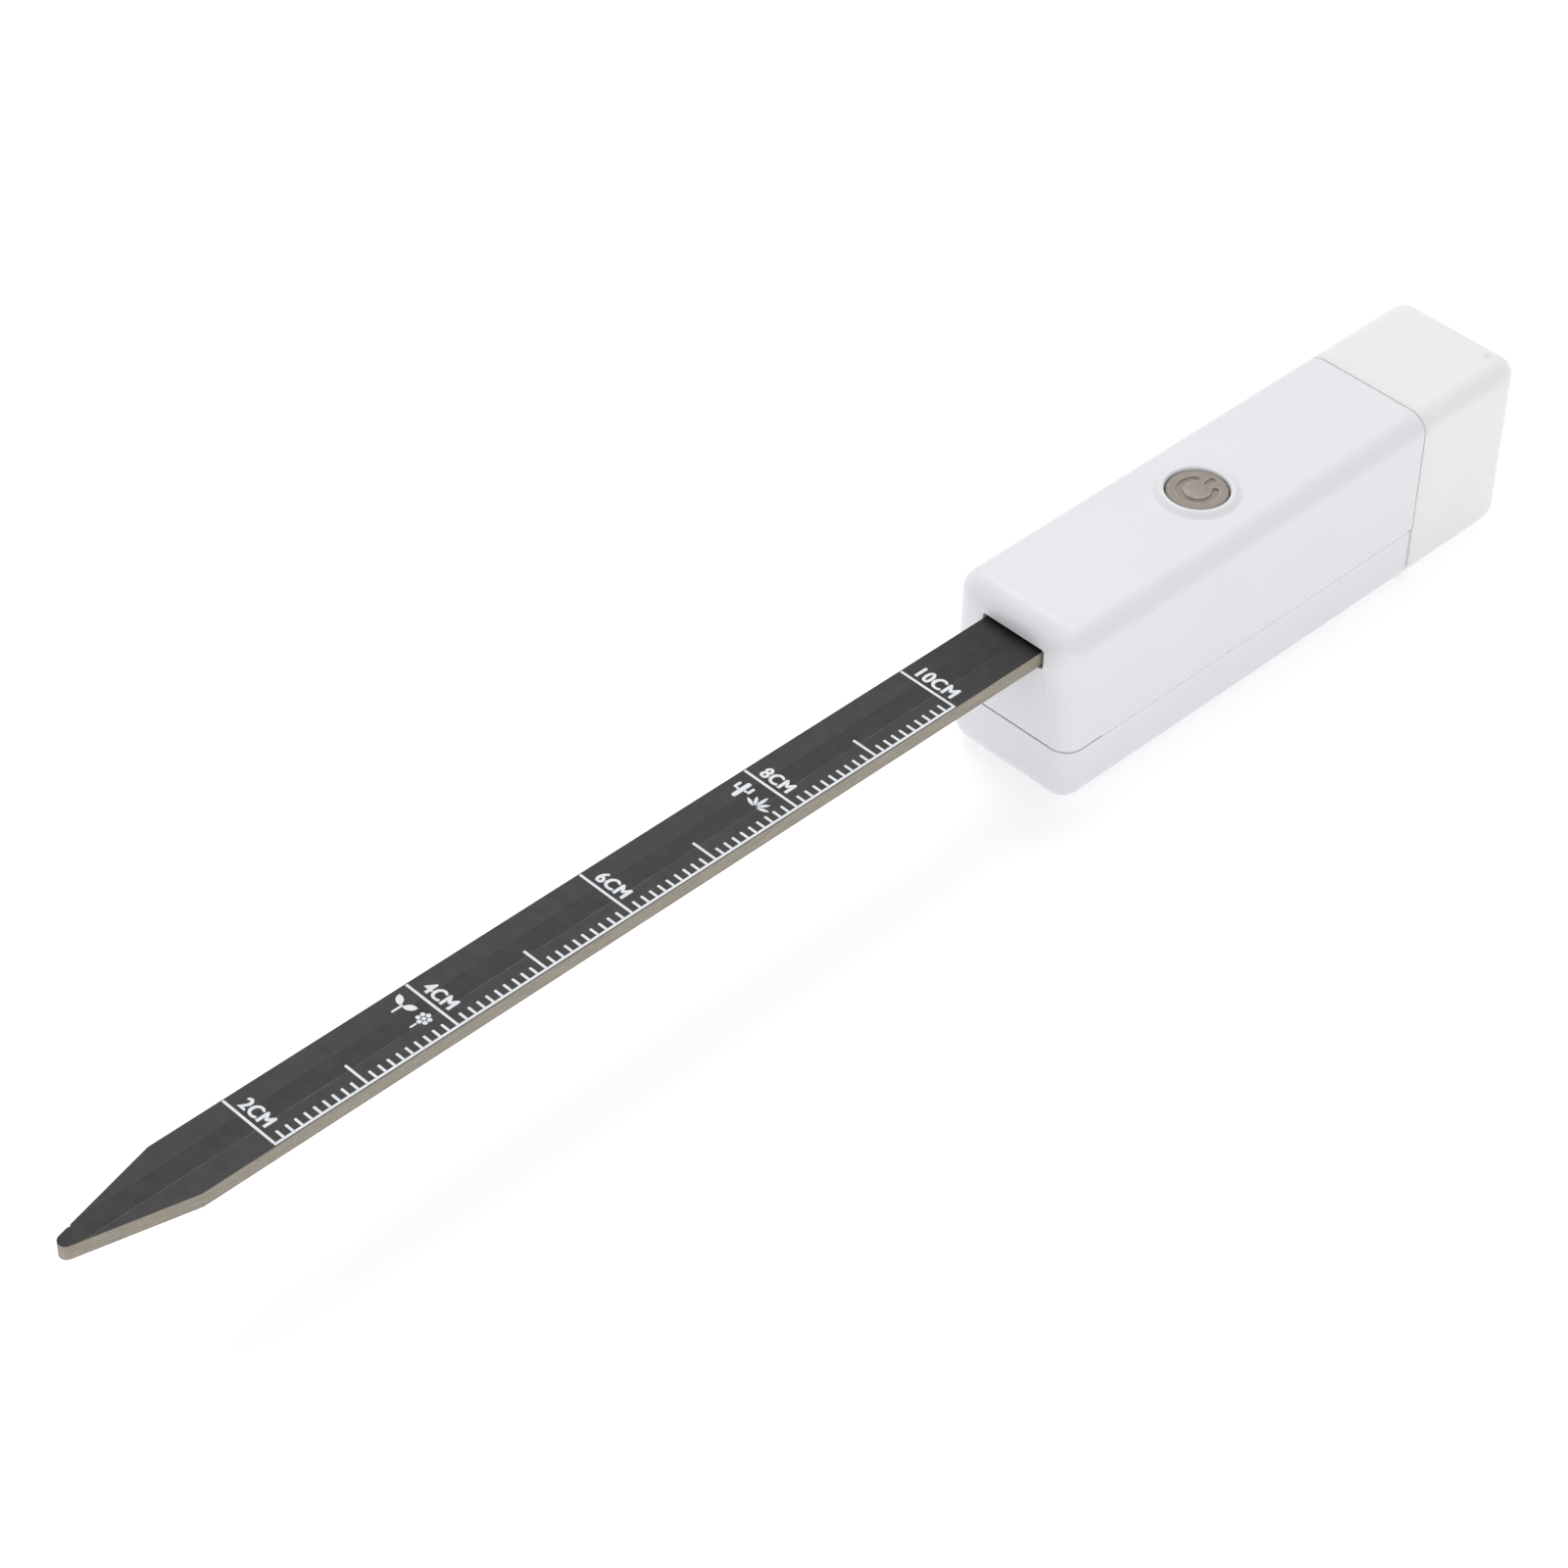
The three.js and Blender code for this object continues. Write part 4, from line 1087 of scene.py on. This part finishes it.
def ink_line(bm, x0, x1, y0, y1):
    """A printed line between two places, with slightly round corners."""
    at = facing(X, Y, Vector(((x0 + x1) / 2, (y0 + y1) / 2, ink_low)))
    path = rounded_rectangle(bm, x1 - x0, y1 - y0, min(x1 - x0, y1 - y0) * 0.3, at, steps=2)
    bm.faces.new(path)


def thicken(bm):
    """Gives flat ink its thickness."""
    push(bm, list(bm.faces), Z * (ink_high - ink_low), keep=True)
    bmesh.ops.recalc_face_normals(bm, faces=bm.faces)


# %% Print the scale's lines
def build_scale():
    bm = bmesh.new()
    half, foot = line_width / 2, across_board(0)
    ink_line(bm, scale_zero + scale_from - half, scale_zero + scale_to + half, foot - half, foot + half)
    for step in range(scale_from, scale_to + 1):
        x = scale_zero + step
        reach = full_line if step % 20 == 0 else long_line if step % 10 == 0 else short_line
        ink_line(bm, x - half, x + half, foot + half + 0.001, across_board(reach))
    thicken(bm)
    return bm


piece(build_scale(), "printed_scale", "handle", [ink_finish])

# %% Print the numbers
stroke_spread = 0.085
letter_gap = 1.1
number_row = 8.1


def lettering(text, origin, length, height):
    """Text as flat faces, read across the board, with its top towards the handle."""
    curve = bpy.data.curves.new(text, "FONT")
    curve.body = text
    curve.space_character = letter_gap
    curve.resolution_u = 4
    typed = bpy.data.objects.new(text, curve)
    bpy.context.scene.collection.objects.link(typed)
    shape = typed.evaluated_get(bpy.context.evaluated_depsgraph_get())
    mesh = bpy.data.meshes.new_from_object(shape)
    bpy.data.objects.remove(typed)
    bm = bmesh.new()
    bm.from_mesh(mesh)
    bpy.data.meshes.remove(mesh)
    bmesh.ops.remove_doubles(bm, verts=bm.verts, dist=same_point)
    low, high = (Vector(pick(v.co[i] for v in bm.verts) for i in range(3)) for pick in (min, max))
    bmesh.ops.translate(bm, vec=-low, verts=bm.verts)
    bmesh.ops.scale(bm, vec=(length / (high.x - low.x), height / (high.y - low.y), 1), verts=bm.verts)
    thin = list(bm.faces)
    for right, up, lift in ((stroke_spread, 0, 0.001), (0, stroke_spread, 0.002), (-stroke_spread, 0, 0.003)):
        copy = bmesh.ops.duplicate(bm, geom=thin)["geom"]
        moved = [v for v in copy if isinstance(v, bmesh.types.BMVert)]
        bmesh.ops.translate(bm, vec=Vector((right, up - stroke_spread / 2, lift)), verts=moved)
    bmesh.ops.transform(bm, matrix=facing(-Y, X, origin), verts=bm.verts)
    return bm


def build_numbers():
    whole = bmesh.new()
    for centimetres in (2, 4, 6, 8, 10):
        length, height = (4.45, 1.5) if centimetres == 10 else (3.44, 1.4)
        start = Vector((scale_zero + 10 * centimetres + 0.55, across_board(number_row), ink_low))
        part = lettering(f"{centimetres}CM", start, length, height)
        passing = bpy.data.meshes.new("passing")
        part.to_mesh(passing)
        part.free()
        whole.from_mesh(passing)
        bpy.data.meshes.remove(passing)
    thicken(whole)
    return whole


piece(build_numbers(), "printed_numbers", "handle", [ink_finish])

# %% Print the plant pictures
picture_rows, picture_setback = (7.5, 3.9), 2.0


def leaf(bm, foot, angle, length, width):
    """A pointed leaf from its foot, at an angle, as two arcs."""
    half = length / 2
    radius = (half * half + (width / 2) ** 2) / width
    sweep = 2 * math.asin(half / radius)
    moves = [(Vector((half, side * (radius - width / 2), 0)), sweep, 6) for side in (1, -1)]
    path = outline(bm, Vector((0, 0, 0)), moves)
    turn = Matrix.Translation(foot) @ Matrix.Rotation(angle, 4, "Z")
    bmesh.ops.transform(bm, matrix=turn, verts=path)
    bm.faces.new(path)


def disc(bm, centre, radius):
    bmesh.ops.create_circle(bm, cap_ends=True, radius=radius, segments=14, matrix=Matrix.Translation(centre))


def bar(bm, x, y, width, height, radius, steps=2):
    """An upright bar with round corners."""
    bm.faces.new(rounded_rectangle(bm, width, height, radius, Matrix.Translation((x, y, 0)), steps))


def sprout(bm):
    """Two leaves on a stem."""
    bar(bm, 0, -0.45, 0.22, 1.3, 0.1)
    leaf(bm, Vector((0.14, 0.0, 0)), math.radians(38), 1.35, 0.72)
    leaf(bm, Vector((-0.14, 0.0, 0)), math.radians(142), 1.35, 0.72)


def flower(bm):
    """Six petals round a middle, on a stem."""
    petal_ring, heart_y = 0.52, 0.4
    for i in range(6):
        angle = i * math.pi / 3 + math.pi / 6
        at = Vector((math.cos(angle) * petal_ring, heart_y + math.sin(angle) * petal_ring, 0))
        disc(bm, at, 0.235)
    disc(bm, Vector((0, heart_y, 0)), 0.21)
    bar(bm, 0, -0.8, 0.2, 0.75, 0.09)


def cactus(bm):
    """A column with two arms."""
    for x, y, width, height in ((0, 0, 0.5, 2.3), (-0.75, 0.25, 0.3, 0.9), (0.75, 0.45, 0.3, 0.9)):
        bar(bm, x, y, width, height, width * 0.48, steps=4)
    for x, y in ((-0.43, -0.1), (0.43, 0.1)):
        bar(bm, x, y, 0.32, 0.24, 0.05)


def rosette(bm):
    """Five stiff leaves that fan out from one foot, the middle one longest."""
    for degrees in (20, 55, 90, 125, 160):
        angle = math.radians(degrees)
        foot = Vector((math.cos(angle) * 0.22, -0.8 + math.sin(angle) * 0.22, 0))
        leaf(bm, foot, angle, 1.55 if degrees == 90 else 1.25, 0.36)


def build_pictures():
    whole = bmesh.new()
    for step, drawings in ((40, (sprout, flower)), (80, (cactus, rosette))):
        for row, draw in zip(picture_rows, drawings):
            before = set(whole.verts)
            draw(whole)
            fresh = [v for v in whole.verts if v not in before]
            at = Vector((scale_zero + step - picture_setback, across_board(row), ink_low))
            bmesh.ops.transform(whole, matrix=facing(-Y, X, at), verts=fresh)
    thicken(whole)
    return whole


piece(build_pictures(), "printed_pictures", "handle", [ink_finish])

# %% [markdown]
# ## Finishes inside the handle
# With the cover off, the cell and its cradle show, so they deserve care too. Metals get a fine brushed
# grain along one direction. Small soldered parts have a dark body between bright tinned ends, and the ends
# are found by how far a point lies from the part's middle.

# %% Metals
warm_tarnish, pit_shade_grey = (0.35, 0.3, 0.24), (0.12, 0.11, 0.1)


def metal(name, colour, roughness, along=(0.15, 1, 1), size=0.12):
    """Plated or plain metal with a brushed grain, a little tarnish and painted shade in its crevices."""
    made, tree, shader = new_material(name, Metallic=1.0)
    scratches = patches(tree, size, 0.3, 0.7, stretch=along, detail=4.0, roughness=0.6)
    clouds = patches(tree, 1.8, 0.45, 0.75)
    base = use(tree, drift, colour=(*colour, 1), amount=0.08, size=3.0)
    base = layer(tree, base, clouds, 0.22, warm_tarnish)
    # Painted shade: crevices are darkened where the surface sees little of the room.
    base = layer(tree, base, use(tree, crevice, reach=0.12), 0.3, pit_shade_grey)
    brushed = ramp(tree, scratches, 0, 1, roughness - 0.07, roughness + 0.1)
    finish(tree, shader, base, maths(tree, "MULTIPLY_ADD", clouds, 0.12, brushed), scratches, 0.0015)
    return made


# %% Soldered parts with tinned ends
rubbed_pale = (0.6, 0.58, 0.55)


def two_part(name, axis, inner, body, ends, **uniform):
    """One colour between two limits along an axis, and tinned metal, or a second colour, outside them."""
    made, tree, shader = new_material(name, **uniform)
    along = add(tree, "SeparateXYZ", {"Vector": place(tree)}).outputs[axis]
    middle, half = (inner[0] + inner[1]) / 2, (inner[1] - inner[0]) / 2
    away = maths(tree, "ABSOLUTE", maths(tree, "SUBTRACT", along, middle))
    rough_edge = maths(tree, "MULTIPLY_ADD", noise(tree, place(tree), 0.15), 0.06, away)
    outside = ramp(tree, rough_edge, half + 0.02, half + 0.05)
    body_tone = use(tree, drift, colour=(*body[0], 1), amount=0.1, size=0.8)
    end_tone = use(tree, drift, colour=(*ends[0], 1), amount=0.1, size=0.6)
    base = blend(tree, outside, body_tone, end_tone)
    base = layer(tree, base, use(tree, edge_wear_and_highlight, radius=0.04), 0.25, rubbed_pale)
    tree.links.new(maths(tree, "MULTIPLY", outside, ends[2]), shader.inputs["Metallic"])
    rough = ramp(tree, outside, 0, 1, body[1], ends[1])
    finish(tree, shader, base, rough, use(tree, grain, size=0.06), 0.004)
    return made


print("inner finishes ready")

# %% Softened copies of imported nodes
tin = ((0.72, 0.72, 0.7), 0.32, 1.0)


def softened(node, material, width):
    """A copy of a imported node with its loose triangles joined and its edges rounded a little."""
    source = frame["nodes"][node]
    bm = bmesh.new()
    bm.from_mesh(source.data)
    bmesh.ops.remove_doubles(bm, verts=bm.verts, dist=0.001 * MM)
    bmesh.ops.scale(bm, vec=(1 / MM,) * 3, verts=bm.verts)
    bmesh.ops.dissolve_limit(
        bm, angle_limit=math.radians(0.5), use_dissolve_boundaries=False, verts=bm.verts, edges=bm.edges
    )
    return piece(bm, node + "_finished", source["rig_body"], [material], [node], soft_edge=width)


def middle_of(node, axis, trim):
    """The limits of a part's body between its two ends, along one axis."""
    low, high = box_mm(node)
    number = "XYZ".index(axis)
    return low[number] + trim, high[number] - trim


# %% Rubber, plastics and metals of the inner pieces
seal_finish = moulded("seal rubber", (0.03, 0.03, 0.032), 0.72, 0.2, 0.006, crevice_shade_share=0.3, tone=0.08)
cradle_finish = moulded("cradle plastic", (0.66, 0.665, 0.67), 0.5, 0.16, 0.004, Subsurface_Weight=0.04)
switch_finish = moulded("switch nylon", (0.028, 0.028, 0.03), 0.5, 0.12, 0.005, crevice_shade_share=0.3, tone=0.08)
ferrite_finish = moulded("ferrite", (0.06, 0.06, 0.065), 0.62, 0.1, 0.012, crevice_shade_share=0.2, tone=0.12)
fill_finish = moulded("cell filling", (0.045, 0.042, 0.04), 0.8, 0.25, 0.02, crevice_shade_share=0.2, tone=0.15)
nickel = metal("nickel plate", (0.74, 0.71, 0.65), 0.26, along=(1, 1, 0.15))
spring_steel = metal("spring wire", (0.7, 0.68, 0.64), 0.24, along=(1, 1, 1), size=0.08)
screw_steel = metal("zinc plate", (0.62, 0.63, 0.66), 0.34, along=(1, 1, 0.3), size=0.1)
can_steel = metal("cell steel", (0.68, 0.68, 0.69), 0.28, along=(0.15, 1, 1), size=0.2)
print("inner materials ready")

# %% Place them
plain_nodes = {
    "slot_seal": ("seal_rubber", seal_finish, 0.15),
    "battery_cradle": ("cradle_white", cradle_finish, 0.08),
    "switch_base": ("switch_black", switch_finish, 0.05),
    "switch_plunger": ("switch_black", switch_finish, 0.08),
    "switch_cover": ("contact_metal", nickel, 0.02),
    "switch_dome": ("contact_metal", nickel, 0.0),
    "boost_inductor": ("ferrite_grey", ferrite_finish, 0.08),
    "board_screw_front": ("screw_steel", screw_steel, 0.03),
    "board_screw_rear": ("screw_steel", screw_steel, 0.03),
    "minus_contact": ("contact_metal", nickel, 0.04),
    "minus_spring": ("contact_metal", spring_steel, 0.0),
    "plus_contact": ("contact_metal", nickel, 0.04),
    "cell_can": ("cell_steel", can_steel, 0.03),
    "cell_core": ("cell_fill", fill_finish, 0.1),
    "cell_plus_cap": ("cell_steel", can_steel, 0.1),
}
for node, (slot, material, width) in plain_nodes.items():
    made = softened(node, material, width)
    if node == "switch_dome":
        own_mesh(made)

# %% [markdown]
# ## Small soldered parts
# Chips are dark moulded epoxy with bent leads. Capacitors are tan ceramic and resistors are black glass on
# white, both between tinned ends. The lights are white bodies under a clear dome that shows a little of
# its colour.

# %% Chips, capacitors, resistors and lights
chip_body = ((0.03, 0.03, 0.031), 0.55)
tan_body = ((0.42, 0.27, 0.16), 0.4)
black_body = ((0.025, 0.025, 0.027), 0.3)
soldered_parts = [
    ("controller_chip boost_chip", "Y", 0.8, chip_body, "chip_black", 0.05),
    ("input_capacitor output_capacitor sensing_capacitor", "X", 0.4, tan_body, "capacitor_tan", 0.08),
    ("sensing_resistor pull_up_resistor led_resistor", "X", 0.3, black_body, "resistor_black", 0.05),
]
for names, axis, trim, body, slot, width in soldered_parts:
    for node in names.split():
        material = two_part(node + " finish", axis, middle_of(node, axis, trim), body, tin)
        softened(node, material, width)

led_colours = {
    "led_dry": ("led_red", (0.55, 0.08, 0.06)),
    "led_moist": ("led_green", (0.1, 0.42, 0.12)),
    "led_wet": ("led_blue", (0.08, 0.18, 0.6)),
}
led_base, led_base_top = ((0.7, 0.7, 0.68), 0.45), 0.4
for node, (slot, colour) in led_colours.items():
    foot = box_mm(node)[0].z
    dome = (colour, 0.12, 0.0)
    limits = (foot - 1, foot + led_base_top)
    material = two_part(node + " finish", "Z", limits, led_base, dome, Coat_Weight=0.5, Coat_Roughness=0.1)
    softened(node, material, 0.04)

# %% [markdown]
# ## The cell's sleeve
# The cell wears a printed plastic film. It is plain here: green with a pale band near the plus end and a
# thin line on each side of it. The film is glossy, with faint lengthwise scuffs from being pushed in and
# out.

# %% The sleeve's film
film_green, film_pale, film_yellow = (0.05, 0.24, 0.11), (0.7, 0.71, 0.68), (0.55, 0.6, 0.2)
film_bands = [(9, 3.5, film_pale), (10, 9.6, film_yellow), (2.9, 2.5, film_yellow)]
scuff_white, film_dust = (0.6, 0.62, 0.6), (0.5, 0.48, 0.45)


def sleeve_film():
    made, tree, shader = new_material("cell film", Coat_Weight=0.6, Coat_Roughness=0.12)
    along = add(tree, "SeparateXYZ", {"Vector": place(tree)}).outputs["X"]
    base = use(tree, drift, colour=(*film_green, 1), amount=0.05, size=6.0)
    plus_end = box_mm("cell_sleeve")[1].x
    for start, end, colour in film_bands:
        after = maths(tree, "GREATER_THAN", along, plus_end - start)
        before = maths(tree, "LESS_THAN", along, plus_end - end)
        base = blend(tree, maths(tree, "MULTIPLY", after, before), base, (*colour, 1))
    scuff = patches(tree, 0.18, 0.62, 0.8, stretch=(0.04, 1, 1), detail=4.0, roughness=0.6)
    base = layer(tree, base, scuff, 0.25, scuff_white)
    base = layer(tree, base, use(tree, dust, spacing=1.1, speck=0.04), 0.4, film_dust)
    height = maths(tree, "ADD", scuff, noise(tree, place(tree), 1.5))
    finish(tree, shader, base, ramp(tree, scuff, 0, 1, 0.26, 0.5), height, 0.004)
    return made


softened("cell_sleeve", sleeve_film(), 0.06)

# %% [markdown]
# ## Light, floor and camera
# A light tent: a broad soft light from above, a weaker one from the probe's end, a faint one from the
# right, and an even white room. The floor is a pale sheet that glows a little, as on a light table. It
# lies a hair below the handle and is clear when seen from below, so that the underside can be looked at.

# %% Camera
look_at = Vector((-0.0071, -0.0003, board_high.z * MM))
distance = 0.4084
tilt, heading, roll = (math.radians(degrees) for degrees in (41.76, 44.5, 1.536))
forward = Vector((math.cos(heading) * math.cos(tilt), math.sin(heading) * math.cos(tilt), -math.sin(tilt)))
camera_data = bpy.data.cameras.new("camera")
camera_data.lens = 105.07
camera_data.sensor_width = 36
camera_data.clip_start = 0.01
camera = bpy.data.objects.new("camera", camera_data)
camera.location = look_at - forward * distance
aimed = forward.to_track_quat("-Z", "Y").to_matrix()
camera.rotation_euler = (aimed @ Matrix.Rotation(roll, 3, "Z")).to_euler()
bpy.context.scene.collection.objects.link(camera)
bpy.context.scene.camera = camera
print("camera at", [round(c, 4) for c in camera.location])

# %% Floor and lights
def soft_box(name, place_at, aim, size, watts):
    """A square area light aimed at a point."""
    data = bpy.data.lights.new(name, "AREA")
    data.size = size
    data.energy = watts
    made = bpy.data.objects.new(name, data)
    made.location = place_at
    made.rotation_euler = (Vector(aim) - Vector(place_at)).to_track_quat("-Z", "Y").to_euler()
    bpy.context.scene.collection.objects.link(made)


floor_drop = 0.05 * MM
floor_glow = 0.3
floor_mesh = bpy.data.meshes.new("floor")
sheet = bmesh.new()
below = Matrix.Translation((0, 0, -floor_drop))
bmesh.ops.create_grid(sheet, x_segments=1, y_segments=1, size=3, matrix=below)
sheet.to_mesh(floor_mesh)
sheet.free()
floor = bpy.data.objects.new("floor", floor_mesh)
bpy.context.scene.collection.objects.link(floor)
paper, paper_tree, paper_shader = new_material("floor paper", Roughness=0.9)
paper_shader.inputs["Base Color"].default_value = (0.93, 0.93, 0.93, 1)
paper_shader.inputs["Emission Color"].default_value = (1, 1, 1, 1)
paper_shader.inputs["Emission Strength"].default_value = floor_glow
from_below = add(paper_tree, "NewGeometry").outputs["Backfacing"]
clear = add(paper_tree, "BsdfTransparent").outputs["BSDF"]
either = add(paper_tree, "MixShader")
paper_tree.links.new(from_below, either.inputs[0])
paper_tree.links.new(paper_shader.outputs["BSDF"], either.inputs[1])
paper_tree.links.new(clear, either.inputs[2])
paper_tree.links.new(either.outputs[0], paper_tree.nodes["Material Output"].inputs["Surface"])
floor_mesh.materials.append(paper)

soft_box("overhead", (0.35, 0.45, 1.0), (0, 0, 0), 0.7, 4.6)
soft_box("front", (-1.1, 0.0, 0.3), (0, 0, 0), 0.8, 1.6)
soft_box("right", (0.3, -1.0, 0.4), (0, 0, 0), 0.8, 0.5)
world = bpy.data.worlds.new("room")
world.use_nodes = True
world.node_tree.nodes["Background"].inputs["Color"].default_value = (1.0, 1.0, 1.0, 1)
world.node_tree.nodes["Background"].inputs["Strength"].default_value = 0.72
bpy.context.scene.world = world
bpy.context.scene.view_settings.view_transform = "Standard"
print("lights ready")
